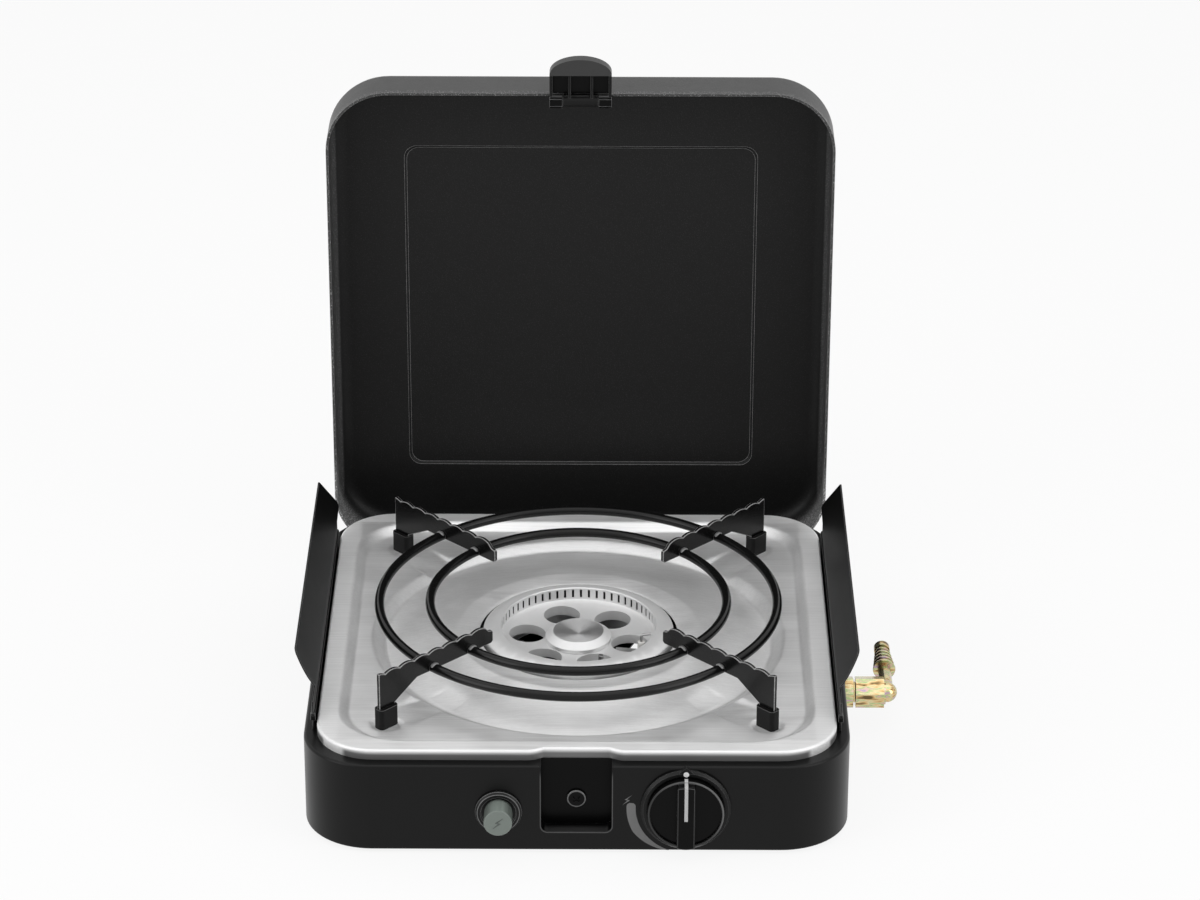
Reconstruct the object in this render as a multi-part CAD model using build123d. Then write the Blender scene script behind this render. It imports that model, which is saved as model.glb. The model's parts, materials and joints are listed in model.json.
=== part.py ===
from build123d import *

import math
import os

# A single-burner gas stove for camping, fed by a hose, with a hinged lid and two windshields.
# Millimetres. +Z is up, the user stands at -Y, and the origin is on the floor under the middle
# of the base. The lid stands open at rest, and the flame would burn at the origin's axis.

# ---------------------------------------------------------------- driving dimensions

# base housing
base_width = 320.0
base_depth = 320.0
base_corner = 41.0
base_height = 56.0
base_sheet = 1.0
base_edge_round = 1.6
foot_drop = 2.5
rim_flange_width = 18.0
bottom_flange_width = 14.0
rear_roll = 13.5

# drip tray
tray_side_gap = 7.8
tray_front_gap = 7.4
tray_corner_step = 6.0
tray_sheet = 0.8
tray_skirt = 6.4
tray_edge_round = 1.4
tray_border = 12.0
tray_step_depth = 5.2
tray_step_run = 4.6
tray_pan_corner = 39.0
notch_half_width = 19.4
notch_slant = 6.3
notch_setback = 3.3
dish_margin = 10.3
dish_run = 7.0
dish_depth = 5.4
collar_radius = 74.0
collar_rise = 7.7
collar_crown = 0.5
burner_hole_gap = 2.5
pad_radius = 8.6
pad_depth = 1.2
channel_width = 24.0
channel_overlap = 0.4
channel_drop = 3.6

# latch recess in the front wall
recess_width = 41.2
recess_depth = 10.0
recess_sill = 12.4
recess_corner = 4.0
recess_screw_height = 32.3
screw_head_radius = 5.8
screw_head_height = 1.6

# lid
lid_side_gap = 2.0
lid_front_gap = 2.0
lid_height = 38.4
lid_sheet = 1.0
lid_round = 11.0
lid_seat_gap = 0.3
lid_back_gap = 1.0
hem_width = 1.6
hem_height = 4.5
panel_margin = 46.75
panel_corner = 8.0
panel_relief = 1.2
panel_offset = 3.0

# lid hinge
hinge_inset = 12.9
hinge_spacing = 190.0
hinge_arm_thickness = 3.0
hinge_eye_radius = 5.0
hinge_eye_width = 5.4
hinge_pin_radius = 2.0
hinge_slot_width = 5.0
hinge_slot_depth = 26.5
hinge_pin_end = 0.8
hinge_pin_head_radius = 3.4
hinge_pin_head = 1.0
hinge_cheek = 1.6
running_gap = 0.05
side_gap = 0.3

# latch
latch_width = 38.2
latch_reach = 28.0
latch_dome = 10.0
latch_thickness = 7.5
latch_wall = 1.8
latch_lip = 10.5
latch_rib_spacing = 13.6
latch_rib = 1.5
latch_pivot_drop = 5.5
latch_pivot_inset = 3.0
latch_pin_radius = 1.5
latch_barrel_radius = 3.2
latch_barrel_half = 10.6
latch_lug_inner = 11.2
latch_lug_reach = 3.5
latch_turn_gap = 0.4

# windshields
shield_inset = 5.4
shield_sheet = 1.0
shield_pivot_rise = 2.9
shield_barrel_radius = 1.5
shield_rod_radius = 0.8
shield_front_setback = 46.4
shield_front_bow = 2.8
shield_front_slant = 15.0
shield_top_setback = 53.0
shield_tip_setback = 20.5
shield_bend_rise = 8.2
shield_leaf = 33.4
shield_flare = 16.0
shield_tip_round = 3.0
rail_front_setback = 43.0
rail_back_setback = 39.0
rail_top_gap = 0.5
rail_depth = 8.0
rail_foot = 7.0
ear_size = 3.0
ear_thickness = 1.0

# pan support
wire_radius = 2.9
foot_margin = 23.7357
ring_setback = 43.2
ring_spacing = 30.8
ring_rise = 1.4
arm_thickness = 2.2
arm_overhang = 17.6
arm_rise = 35.0
arm_depth = 13.0
arm_leg = 12.0
arm_knee = 17.9
arm_tip_drop = 4.9
arm_tip_rise = 1.3
arm_tip_slope = 1.4
arm_tip_run = 3.4
scallop_pitch = 11.5
scallop_count = 7
scallop_depth = 1.5
boot_length = 14.0
boot_width = 7.4
boot_height = 13.0
boot_corner = 2.5
boot_sole = 1.4

# burner
burner_radius = 58.0
burner_bore = 47.1
burner_wall = 1.9
burner_drop = 6.0
burner_split_rise = 2.6
burner_shoulder_rise = 7.8
burner_lip_rise = 10.5
burner_floor_thickness = 5.6
burner_trough_depth = 16.0
burner_trough_floor = 2.0
slot_count = 60
slot_start = 4.5
slot_width = 1.4
slot_height = 5.2
air_hole_count = 6
air_hole_radius = 11.2
air_hole_ring = 31.8
air_hole_start = 49.0
hub_radius = 20.2
hub_face_radius = 15.6
hub_height = 6.0
hub_stem_radius = 2.1
hub_stem = 6.0
hub_chamfer = 2.2
hub_dimple_radius = 14.0
hub_dimple_depth = 2.4
post_radius = 4.5
post_ring = 52.2
mixing_drop = 8.0
mixing_radius = 6.5
mixing_bore = 5.0
mixing_mouth = 9.0
mixing_pad = 8.0
injector_setback = 50.0
injector_gap = 3.0
injector_length = 11.0
injector_radius = 4.0
injector_bracket_width = 22.0
injector_bracket_foot = 12.0
injector_bracket_rise = 7.0
bracket_sheet = 1.6

# ignition and flame sensing
electrode_place = (38.4, -6.0)
sensor_place = (13.8, -26.0)
sensor_rise = 3.0
ceramic_radius = 2.3
electrode_wire = 0.8
sensor_radius = 1.6
clip_inner = 16.0
clip_outer = 45.0
clip_width = 7.2
clip_sheet = 1.2
igniter_x = -45.2
igniter_height = 29.0
igniter_bezel_radius = 13.6
igniter_bezel_bore = 10.3
igniter_bezel_height = 3.0
igniter_barrel_radius = 9.7
igniter_barrel_length = 43.0
igniter_button_radius = 8.3
igniter_button_out = 14.5
igniter_button_gap = 0.3
igniter_button_depth = 8.0
igniter_travel = 5.5
igniter_nut_radius = 12.6
igniter_nut_height = 4.0

# gas control
knob_x = 63.5
knob_height = 31.2
knob_radius = 22.3
knob_skirt = 3.3
knob_bar_rise = 5.0
knob_bar_width = 10.6
knob_bar_end = 1.2
knob_rim = 1.6
knob_dish = 1.3
knob_boss_radius = 5.5
knob_travel = 3.2
bezel_radius = 26.2
bezel_bore = 22.9
bezel_height = 3.0
bezel_floor = 0.6
bezel_peak = 2.4
bezel_peak_half = 4.2
spindle_radius = 3.0
valve_width = 24.0
valve_depth = 32.0
valve_body_height = 26.0
valve_setback = 14.3
washer_radius = 6.4
washer_thickness = 1.2

# gas inlet
inlet_y = -10.0
inlet_height = 25.2
inlet_flat = 17.8
lock_nut_length = 5.4
union_length = 19.4
union_gap = 1.4
inlet_thread_radius = 6.4
elbow_reach = 29.0
elbow_radius = 6.2
tail_radius = 4.1
tail_reach = 57.0
barb_start = 28.0
barb_count = 5
barb_large = 7.0
barb_small = 5.0
tail_bore = 2.6
tail_land_radius = 4.9
tail_land = 5.0
pipe_radius = 3.0
pipe_start = 12.0
pipe_first_bend = 40.0
pipe_low_bend = (42.0, -60.0, 27.0)
pipe_last_bend = 50.0
burner_pipe_bend = 22.0

# fasteners, feet and leads
foot_radius = 9.0
foot_inset = 36.0
plate_sheet = 1.0
bottom_screw_radius = 1.6
bottom_screw_head = 3.4
bottom_screw_head_height = 1.4
bottom_screw_end = 3.0
bottom_screw_setback = 60.0
vent_ring = 84.0
vent_length = 34.0
vent_width = 5.0
vent_count = 8
screw_clearance = 0.05
lead_radius = 1.3

# ---------------------------------------------------------------- derived places

floor_z = foot_drop
rim_z = foot_drop + base_height
front_y = -base_depth / 2
back_y = base_depth / 2
side_x = base_width / 2
inner_front_y = front_y + base_sheet
foot_x, foot_y = side_x - foot_inset, back_y - foot_inset
bottom_screw_y = back_y - bottom_screw_setback
plate_low = floor_z + base_sheet
plate_top = plate_low + plate_sheet

tray_width = base_width - 2 * tray_side_gap
tray_depth = base_depth - 2 * tray_front_gap
tray_corner = base_corner - tray_corner_step
pan_half = min(tray_width, tray_depth) / 2 - tray_border - tray_step_run
dish_radius = pan_half - dish_margin
tray_top = rim_z + tray_skirt
pan_floor = tray_top - tray_step_depth
dish_floor = pan_floor - dish_depth
collar_top = dish_floor + collar_rise
burner_hole = burner_radius + burner_hole_gap
burner_floor_height = collar_top - burner_drop
burner_split_height = burner_floor_height + burner_split_rise
burner_shoulder_height = burner_floor_height + burner_shoulder_rise
burner_lip_height = burner_floor_height + burner_lip_rise
burner_trough_height = burner_floor_height - burner_trough_depth
mixing_height = burner_floor_height - mixing_drop

arm_outer = (pan_half - foot_margin) * math.sqrt(2) + arm_leg / 2
outer_ring_radius = arm_outer - ring_setback
inner_ring_radius = outer_ring_radius - ring_spacing
arm_inner = inner_ring_radius - arm_overhang
channel_reach = arm_outer - arm_leg / 2 - pad_radius + channel_overlap
arm_top = pan_floor + arm_rise
arm_underside = arm_top - arm_depth
arm_tip_top = arm_top - arm_tip_drop
arm_tip_low = arm_underside + arm_tip_rise
ring_height = arm_underside + ring_rise

lid_width = base_width - 2 * lid_side_gap
lid_depth = base_depth - 2 * lid_front_gap
lid_corner = base_corner - lid_side_gap
panel_width = lid_width - 2 * panel_margin
panel_depth = lid_depth - 2 * panel_margin
lid_seat = rim_z + lid_seat_gap
hinge_y = back_y - hinge_inset
hinge_z = lid_seat - hinge_inset - lid_back_gap
lid_front_y = -lid_depth / 2
lid_front_inner = lid_front_y + lid_sheet
lid_top = lid_seat + lid_height
hinge_slot_low = rim_z - hinge_slot_depth

latch_y = lid_front_y + latch_pivot_inset
latch_z = lid_seat - latch_pivot_drop
latch_upper = lid_seat - 0.5
latch_lower = latch_upper - latch_thickness

shield_plane = side_x - shield_inset
shield_pivot_height = tray_top + shield_pivot_rise
shield_bend_height = shield_pivot_height + shield_bend_rise
shield_top = shield_bend_height + shield_leaf
shield_front = front_y + shield_front_setback
shield_back_top = back_y - shield_top_setback
shield_back_tip = back_y - shield_tip_setback
rail_front = front_y + rail_front_setback
rail_back = back_y - rail_back_setback

knob_back = front_y - bezel_floor - knob_travel - 0.4
knob_face = knob_back - knob_skirt
knob_bar_face = knob_face - knob_bar_rise
valve_front = front_y + valve_setback + base_sheet
washer_front = valve_front - washer_thickness - knob_travel - 1.6
igniter_front = front_y - igniter_button_out

valve_mid_y = valve_front + valve_depth / 2
injector_back_y = front_y + injector_setback
injector_tip_y = injector_back_y + injector_length
mixing_end_y = -(burner_radius + mixing_pad)
mixing_length = mixing_end_y - injector_tip_y - injector_gap
union_start = side_x + 2.8 + lock_nut_length + union_gap
elbow_x = side_x + elbow_reach

nodes = {}


# ---------------------------------------------------------------- small helpers


def block(x_range, y_range, z_range):
    """A box given by its limits on each axis."""
    ranges = (x_range, y_range, z_range)
    sizes = [high - low for low, high in ranges]
    middles = [(high + low) / 2 for low, high in ranges]
    return Pos(*middles) * Box(*sizes)


def about(middle, half):
    """The limits of a stretch, from its middle and half its length."""
    return (middle - half, middle + half)


def rounded_block(width, depth, corner, low, high, shift_y=0.0):
    """A block with rounded upright corners."""
    return Pos(0, shift_y, low) * extrude(RectangleRounded(width, depth, corner), high - low)


def rod(axis, radius, low, high, across):
    """A round bar along one axis. across is its place on the two other axes."""
    bar = Cylinder(radius, high - low)
    middle = (low + high) / 2
    if axis == "x":
        return Pos(middle, across[0], across[1]) * Rot(0, 90, 0) * bar
    if axis == "y":
        return Pos(across[0], middle, across[1]) * Rot(90, 0, 0) * bar
    return Pos(across[0], across[1], middle) * bar


def tube(axis, radius, bore, low, high, across):
    """A round bar with a hole along it."""
    return rod(axis, radius, low, high, across) - rod(axis, bore, low - 1, high + 1, across)


def side_plate(points, x_low, x_high):
    """A plate whose outline is given as (y, z) points, between two x places."""
    outline = Plane.YZ.offset(x_low) * Polygon(*points, align=None)
    return extrude(outline, x_high - x_low, dir=(1, 0, 0))


def turned(points):
    """A solid of revolution about the upright axis, from (radius, z) points."""
    return revolve(Plane.XZ * Polygon(*points, align=None), Axis.Z)


def bent_rod(points, bends, radius):
    """A round bar or lead along straight runs joined by tangent arcs."""
    path = FilletPolyline(*points, radius=bends)
    start = Plane(origin=path @ 0, z_dir=path % 0)
    return sweep(start * Circle(radius), path=path)


def hexagon_bar(axis_place, flat, low, high):
    """A hexagonal bar along X at (y, z)."""
    outline = RegularPolygon(flat / 2, 6, major_radius=False)
    bar = extrude(outline, high - low)
    return Pos(low, axis_place[0], axis_place[1]) * Rot(0, 90, 0) * Rot(0, 0, 10) * bar


def together(solids):
    """Several separate solids as one node."""
    return Compound(children=list(solids))


def keep(name, shape):
    """Registers a finished piece under its node name."""
    nodes[name] = shape


# ---------------------------------------------------------------- base housing


def rolled_block(shrink, low, top_drop):
    """The housing's form, shrunk by a wall, with the rear top edge rolled round the lid's path."""
    width, depth = base_width - 2 * shrink, base_depth - 2 * shrink
    high = rim_z - top_drop
    form = rounded_block(width, depth, base_corner - shrink, low, high)
    if shrink == 0:
        top_and_bottom = form.edges().group_by(Axis.Z)
        form = fillet(top_and_bottom[-1] + top_and_bottom[0], base_edge_round)
    roll_y, roll_z = back_y - rear_roll, rim_z - rear_roll
    corner = block(about(0, side_x + 1), (roll_y, back_y + 1), (roll_z, rim_z + 1))
    return form - (corner - rod("x", rear_roll - shrink, -side_x - 2, side_x + 2, (roll_y, roll_z)))


def recess_form(grow, back, front):
    """The latch recess, open at the top, with rounded lower corners."""
    width = recess_width + 2 * grow
    low, high = floor_z + recess_sill - grow, rim_z + 2 - 2 * grow
    if grow > 0:
        high = rim_z
    face = Pos(0, (low + high) / 2) * Rectangle(width, high - low)
    lower = face.vertices().group_by(Axis.Y)[0]
    face = fillet(lower, recess_corner + grow)
    return extrude(Plane.XZ.offset(-back) * face, back - front)


def make_base_housing():
    shell = rolled_block(0, floor_z, 0)
    shell -= rolled_block(base_sheet, plate_low, base_sheet)
    rim_opening = base_width - 2 * rim_flange_width
    rim_depth = base_depth - 2 * rim_flange_width
    rim_corner = base_corner - rim_flange_width
    shell -= rounded_block(rim_opening, rim_depth, rim_corner, rim_z - 2 * base_sheet, rim_z + 1)
    floor_opening = base_width - 2 * bottom_flange_width
    floor_depth = base_depth - 2 * bottom_flange_width
    floor_corner = base_corner - bottom_flange_width
    shell -= rounded_block(floor_opening, floor_depth, floor_corner, floor_z - 1, plate_low + 1)
    shell += recess_form(base_sheet, front_y + recess_depth + base_sheet, inner_front_y)
    shell -= recess_form(0, front_y + recess_depth, front_y - 1)
    shell -= rod("y", knob_boss_radius + 1.1, front_y - 1, front_y + 3, (knob_x, knob_height))
    barrel_hole = igniter_barrel_radius + 0.1
    shell -= rod("y", barrel_hole, front_y - 1, front_y + 3, (igniter_x, igniter_height))
    inlet_hole = inlet_thread_radius + 0.1
    shell -= rod("x", inlet_hole, side_x - 3, side_x + 1, (inlet_y, inlet_height))
    recess_back = front_y + recess_depth
    screw_hole = 2.0 + screw_clearance
    shell -= rod("y", screw_hole, recess_back - 1, recess_back + 3, (0, recess_screw_height))
    for side in (-1, 1):
        slot_x = about(side * hinge_spacing / 2, hinge_slot_width / 2)
        shell -= block(slot_x, (back_y - 20, back_y + 1), (hinge_slot_low, rim_z + 1))
        rail_x = about(side * shield_plane, shield_sheet / 2 + 0.2)
        rail_y = (rail_front - 0.2, rail_back + 0.2)
        shell -= block(rail_x, rail_y, (rim_z - 3, rim_z + 1))
        for y in (-bottom_screw_y, bottom_screw_y):
            hole = bottom_screw_radius + screw_clearance
            shell -= rod("z", hole, floor_z - 1, plate_low + 1, (side * screw_x(), y))
    return shell


def screw_x():
    """How far out the bottom screws stand, in the middle of the bottom flange."""
    return side_x - base_sheet - (bottom_flange_width - base_sheet) / 2


def make_bottom_plate():
    width = base_width - 2 * base_sheet - 1.0
    depth = base_depth - 2 * base_sheet - 1.0
    plate = rounded_block(width, depth, base_corner - base_sheet - 0.5, plate_low, plate_top)
    for side in (-1, 1):
        for y in (-bottom_screw_y, bottom_screw_y):
            hole = bottom_screw_radius + screw_clearance
            plate -= rod("z", hole, plate_low - 1, plate_top + 1, (side * screw_x(), y))
    slot = SlotOverall(vent_length, vent_width)
    for k in range(vent_count):
        place = Rot(0, 0, 360.0 / vent_count * (k + 0.5)) * Pos(vent_ring, 0, plate_low - 1)
        plate -= place * extrude(slot, plate_sheet + 2)
    return plate


def make_rubber_feet():
    side = [(foot_radius - 1, 0), (foot_radius, 1), (foot_radius, plate_low)]
    foot = turned([(0, 0), *side, (0, plate_low)])
    corners = [(x, y) for x in (-foot_x, foot_x) for y in (-foot_y, foot_y)]
    return together(Pos(x, y, 0) * foot for x, y in corners)


def make_bottom_screws():
    screws = []
    for side in (-1, 1):
        for y in (-bottom_screw_y, bottom_screw_y):
            place = (side * screw_x(), y)
            head = rod("z", bottom_screw_head, floor_z - bottom_screw_head_height, floor_z, place)
            shank = rod("z", bottom_screw_radius, floor_z, plate_top + bottom_screw_end, place)
            screws.append(head + shank)
    return together(screws)


# ---------------------------------------------------------------- drip tray


def tray_plan(inset):
    """The tray's outline, set in by a sheet, with the shallow notch over the latch recess."""
    plan = RectangleRounded(tray_width - 2 * inset, tray_depth - 2 * inset, tray_corner - inset)
    edge = -tray_depth / 2 + inset
    wide = notch_half_width + notch_slant - inset / 2
    narrow = notch_half_width - inset / 2
    bite = Polygon(
        (-wide, edge - 1),
        (-wide, edge),
        (-narrow, edge + notch_setback),
        (narrow, edge + notch_setback),
        (wide, edge),
        (wide, edge - 1),
        align=None,
    )
    return plan - bite


def tray_surface(skin, low):
    """Everything under the tray's upper side (skin 0) or its lower side (skin one sheet)."""
    form = Pos(0, 0, low) * extrude(tray_plan(skin), tray_top - skin - low)
    if skin == 0:
        form = fillet(form.edges().group_by(Axis.Z)[-1], tray_edge_round)
    pan_width = tray_width - 2 * tray_border + 2 * skin
    pan_depth = tray_depth - 2 * tray_border + 2 * skin
    upper = Pos(0, 0, tray_top - skin) * RectangleRounded(pan_width, pan_depth, tray_pan_corner + skin)
    run = 2 * tray_step_run
    floor_corner = tray_pan_corner + skin
    lower = Pos(0, 0, pan_floor - skin) * RectangleRounded(pan_width - run, pan_depth - run, floor_corner)
    form -= loft([upper, lower])
    form -= foot_pads(skin)
    form -= channels(skin)
    form -= dish(skin)
    return form


def dish(skin):
    """The round dish in the tray, with its raised collar round the burner."""
    over = pan_floor + 3
    outline = [
        (burner_hole - 5, over),
        (burner_hole - 5, collar_top + collar_crown - skin - 1.2),
        (burner_hole + skin, collar_top + collar_crown - skin - 1.2),
        (burner_hole + 1.6, collar_top + collar_crown - skin),
        (collar_radius, collar_top - skin),
        (dish_radius - dish_run, dish_floor - skin),
        (dish_radius + skin, pan_floor - skin),
        (dish_radius + skin, over),
    ]
    return turned(outline)


def diagonal_angles():
    return [45.0 + 90.0 * k for k in range(4)]


def foot_pads(skin):
    """The shallow round seats for the pan support's feet."""
    reach = arm_outer - arm_leg / 2
    pads = []
    for angle in diagonal_angles():
        place = Rot(0, 0, angle) * Pos(reach, 0, pan_floor - skin - pad_depth)
        pads.append(place * extrude(Circle(pad_radius + skin), pad_depth + 3))
    return pads


def channels(skin):
    """Four ramps that drain from the feet into the dish."""
    half = channel_width / 2 + skin
    start = pan_floor - skin
    ramp = [
        (dish_radius - dish_run - 4, start - channel_drop),
        (channel_reach, start),
        (channel_reach, start + 3),
        (dish_radius - dish_run - 4, start + 3),
    ]
    wedge = extrude(Plane.XZ * Polygon(*ramp, align=None), half, both=True)
    return [Rot(0, 0, angle) * wedge for angle in diagonal_angles()]


def make_drip_tray():
    low = dish_floor - 6
    tray = tray_surface(0, low) - tray_surface(tray_sheet, low - 1)
    inside = 2 * (tray_border + tray_step_run) - 2 * tray_sheet - 1
    keep_low = rounded_block(tray_width - inside, tray_depth - inside, tray_pan_corner, low - 2, rim_z)
    tray -= block(about(0, tray_width), about(0, tray_depth), (low - 2, rim_z)) - keep_low
    return tray - rod("z", burner_hole, low - 2, tray_top + 1, (0, 0))


# ---------------------------------------------------------------- recess screw


def make_recess_screw():
    back = front_y + recess_depth
    screw = rod("y", screw_head_radius, back - screw_head_height, back, (0, recess_screw_height))
    screw = fillet(screw.edges().group_by(Axis.Y)[0], 0.8)
    for turn in (45, -45):
        blade = Pos(0, back - screw_head_height, recess_screw_height) * Rot(0, turn, 0) * Box(5.0, 2.0, 1.2)
        screw -= blade
    return screw + rod("y", 2.0, back, back + 9, (0, recess_screw_height))


def make_recess_nut():
    back = front_y + recess_depth + base_sheet
    outline = RegularPolygon(3.5, 6, major_radius=False)
    nut = Pos(0, back + 3.2, recess_screw_height) * Rot(90, 0, 0) * extrude(outline, 3.2)
    return nut - rod("y", 2.0 + screw_clearance, back - 1, back + 5, (0, recess_screw_height))


# ---------------------------------------------------------------- lid, drawn shut


def lid_opened(shape):
    """Swings a piece drawn for the shut lid to the open lid's place."""
    return shape.rotate(Axis((0, hinge_y, hinge_z), (1, 0, 0)), -90)


def make_lid_shell():
    outer = rounded_block(lid_width, lid_depth, lid_corner, lid_seat, lid_top)
    outer = fillet(outer.edges().group_by(Axis.Z)[-1], lid_round)
    panel_top = lid_top + panel_relief
    boss = (panel_width + 2 * panel_relief, panel_depth + 2 * panel_relief)
    outer += rounded_block(*boss, panel_corner + panel_relief, lid_top - 1, panel_top, panel_offset)
    inside = 2 * lid_sheet
    hollow = rounded_block(
        lid_width - inside, lid_depth - inside, lid_corner - lid_sheet, lid_seat - 1, lid_top - lid_sheet
    )
    hollow = fillet(hollow.edges().group_by(Axis.Z)[-1], lid_round - lid_sheet)
    shell = outer - hollow
    under = (lid_top - lid_sheet - 1, panel_top - lid_sheet)
    shell -= rounded_block(panel_width, panel_depth, panel_corner, *under, panel_offset)
    hem = rounded_block(lid_width, lid_depth, lid_corner, lid_seat, lid_seat + hem_height)
    hem -= rounded_block(
        lid_width - 2 * hem_width,
        lid_depth - 2 * hem_width,
        lid_corner - hem_width,
        lid_seat - 1,
        lid_seat + hem_height + 1,
    )
    latch_room = about(0, latch_width / 2 + 1)
    hem -= block(latch_room, (lid_front_inner, lid_front_y + 4), (lid_seat - 1, lid_top))
    for side in (-1, 1):
        arm_room = about(side * hinge_spacing / 2, hinge_foot_half() + 0.3)
        back_inner = lid_depth / 2 - lid_sheet
        hem -= block(arm_room, (back_inner - 3, back_inner), (lid_seat - 1, lid_top))
        for x, z in rivet_places(side):
            hole = 1.6 + screw_clearance
            shell -= rod("y", hole, back_inner - 2, lid_depth / 2 + 1, (x, z))
    return shell + hem


def hinge_foot_half():
    return 7.6


def rivet_places(side):
    """Where the two rivets of one hinge arm go through the lid's rear wall."""
    x = side * hinge_spacing / 2
    return [(x - 4.7, lid_seat + 11), (x + 4.7, lid_seat + 11)]


def make_hinge_arm(side):
    x = side * hinge_spacing / 2
    wall = lid_depth / 2 - lid_sheet
    clear_tray = tray_depth / 2 + 0.5
    outline = [
        (hinge_y - 3.2, hinge_z + 3.6),
        (hinge_y + 4.2, hinge_z - 2.6),
        (wall - 0.6, lid_seat - 3.5),
        (wall, lid_seat),
        (wall, lid_seat + 18),
        (wall - 1.6, lid_seat + 18),
        (clear_tray + 0.2, lid_seat + 8),
        (clear_tray, lid_seat - 1.5),
    ]
    arm = side_plate(outline, x - hinge_arm_thickness / 2, x + hinge_arm_thickness / 2)
    arm += rod("x", hinge_eye_radius, x - hinge_eye_width / 2, x + hinge_eye_width / 2, (hinge_y, hinge_z))
    foot_y = (wall - 1.4, wall)
    arm += block(about(x, hinge_foot_half()), foot_y, (lid_seat + 3, lid_seat + 18))
    arm -= rod("x", hinge_pin_radius + running_gap, x - 9, x + 9, (hinge_y, hinge_z))
    for place in rivet_places(side):
        arm -= rod("y", 1.6 + screw_clearance, wall - 5, wall + 1, place)
    return lid_opened(arm)


def make_hinge_rivets():
    wall = lid_depth / 2 - lid_sheet
    rivets = []
    for side in (-1, 1):
        for place in rivet_places(side):
            rivet = rod("y", 1.6, wall - 1.4, wall + lid_sheet, place)
            rivet += rod("y", 2.6, wall - 2.4, wall - 1.4, place)
            rivet += rod("y", 2.6, wall + lid_sheet, wall + lid_sheet + 0.8, place)
            rivets.append(lid_opened(rivet))
    return together(rivets)


def make_hinge_bracket(side):
    """Two cheeks on a back plate, which carry the lid's pin inside the rear wall."""
    x = side * hinge_spacing / 2
    wall = back_y - base_sheet
    gap = hinge_eye_width / 2 + side_gap
    cheek = [
        (wall, 12.0),
        (wall, hinge_z - 5),
        (hinge_y + 6, hinge_z + 4),
        (hinge_y - 4, hinge_z + 4.6),
        (hinge_y - 5, hinge_z - 6),
        (wall - 6, 12.0),
    ]
    bracket = side_plate(cheek, x + gap, x + gap + hinge_cheek)
    bracket += side_plate(cheek, x - gap - hinge_cheek, x - gap)
    bracket += block(about(x, 11.0), (wall - 1.6, wall), (12.0, hinge_slot_low - 3))
    return bracket - rod("x", hinge_pin_radius + screw_clearance, x - 12, x + 12, (hinge_y, hinge_z))


def make_hinge_pins():
    pins = []
    for side in (-1, 1):
        x = side * hinge_spacing / 2
        gap = hinge_eye_width / 2 + side_gap
        low, high = x - gap - hinge_cheek - hinge_pin_end, x + gap + hinge_cheek
        pin = rod("x", hinge_pin_radius, low, high, (hinge_y, hinge_z))
        pins.append(pin + rod("x", hinge_pin_head_radius, high, high + hinge_pin_head, (hinge_y, hinge_z)))
    return together(pins)


# ---------------------------------------------------------------- latch, drawn on the shut lid


def make_latch_bracket():
    wall = lid_front_inner
    lug_inner, lug_outer = latch_lug_inner, latch_width / 2
    rear = front_y + recess_depth - 0.5
    lug = [
        (wall, lid_seat + 13),
        (wall, lid_seat),
        (latch_y - 2.6, latch_z + 2),
        (latch_y - 2.2, latch_z - 2.6),
        (latch_y + 2.2, latch_z - 3.2),
        (rear, latch_z),
        (rear, lid_seat + 2),
        (wall + 1.6, lid_seat + 6),
        (wall + 1.6, lid_seat + 13),
    ]
    bracket = side_plate(lug, lug_inner, lug_outer) + side_plate(lug, -lug_outer, -lug_inner)
    bracket += block(about(0, lug_outer), (wall, wall + 1.6), (lid_seat + 2, lid_seat + 13))
    bracket -= rod("x", latch_pin_radius + screw_clearance, -25, 25, (latch_y, latch_z))
    return lid_opened(bracket)


def make_latch_pin():
    return lid_opened(rod("x", latch_pin_radius, -latch_width / 2, latch_width / 2, (latch_y, latch_z)))


def latch_outline(inset):
    """The latch seen from above: straight sides and a domed tip."""
    half = latch_width / 2 - inset
    root = lid_front_y + 1.5
    tip = latch_y - latch_reach + inset
    shoulder = latch_y - latch_reach + latch_dome
    sides = Polyline((-half, shoulder), (-half, root), (half, root), (half, shoulder))
    dome = EllipticalCenterArc((0, shoulder), half, shoulder - tip, start_angle=180, arc_size=180)
    return make_face(sides + dome)


def make_latch():
    body = Pos(0, 0, latch_lower) * extrude(latch_outline(0), latch_thickness)
    depth = latch_thickness - latch_wall + 1
    hollow = Pos(0, 0, latch_lower - 1) * extrude(latch_outline(latch_wall), depth)
    lip_start = latch_y - latch_reach + latch_lip
    hollow -= block(about(0, latch_width), (lip_start - 30, lip_start), (latch_lower - 2, latch_upper))
    body -= hollow
    between = about(0, latch_width / 2 - latch_wall)
    root = (lid_front_y - 1, lid_front_y + 4)
    body -= block(between, root, (latch_lower - 1, latch_upper - latch_wall))
    rib_y = (lip_start - 1, latch_y)
    for side in (-1, 1):
        rib_x = about(side * latch_rib_spacing / 2, latch_rib / 2)
        body += block(rib_x, rib_y, (latch_lower + 0.8, latch_upper))
    body += block(about(0, latch_barrel_half), (lid_front_y - 1, latch_y), (latch_z, latch_upper))
    body += rod("x", latch_barrel_radius, -latch_barrel_half, latch_barrel_half, (latch_y, latch_z))
    body -= rod("x", latch_pin_radius + running_gap, -25, 25, (latch_y, latch_z))
    for side in (-1, 1):
        lug_room = (latch_lug_inner - 0.4, latch_width / 2 + 1)
        x_range = lug_room if side > 0 else (-lug_room[1], -lug_room[0])
        room = latch_lug_reach + latch_turn_gap
        body -= block(x_range, (latch_y - room, latch_y + 6), (latch_lower - 2, latch_upper + 1))
    return lid_opened(body)


# ---------------------------------------------------------------- windshields


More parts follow.
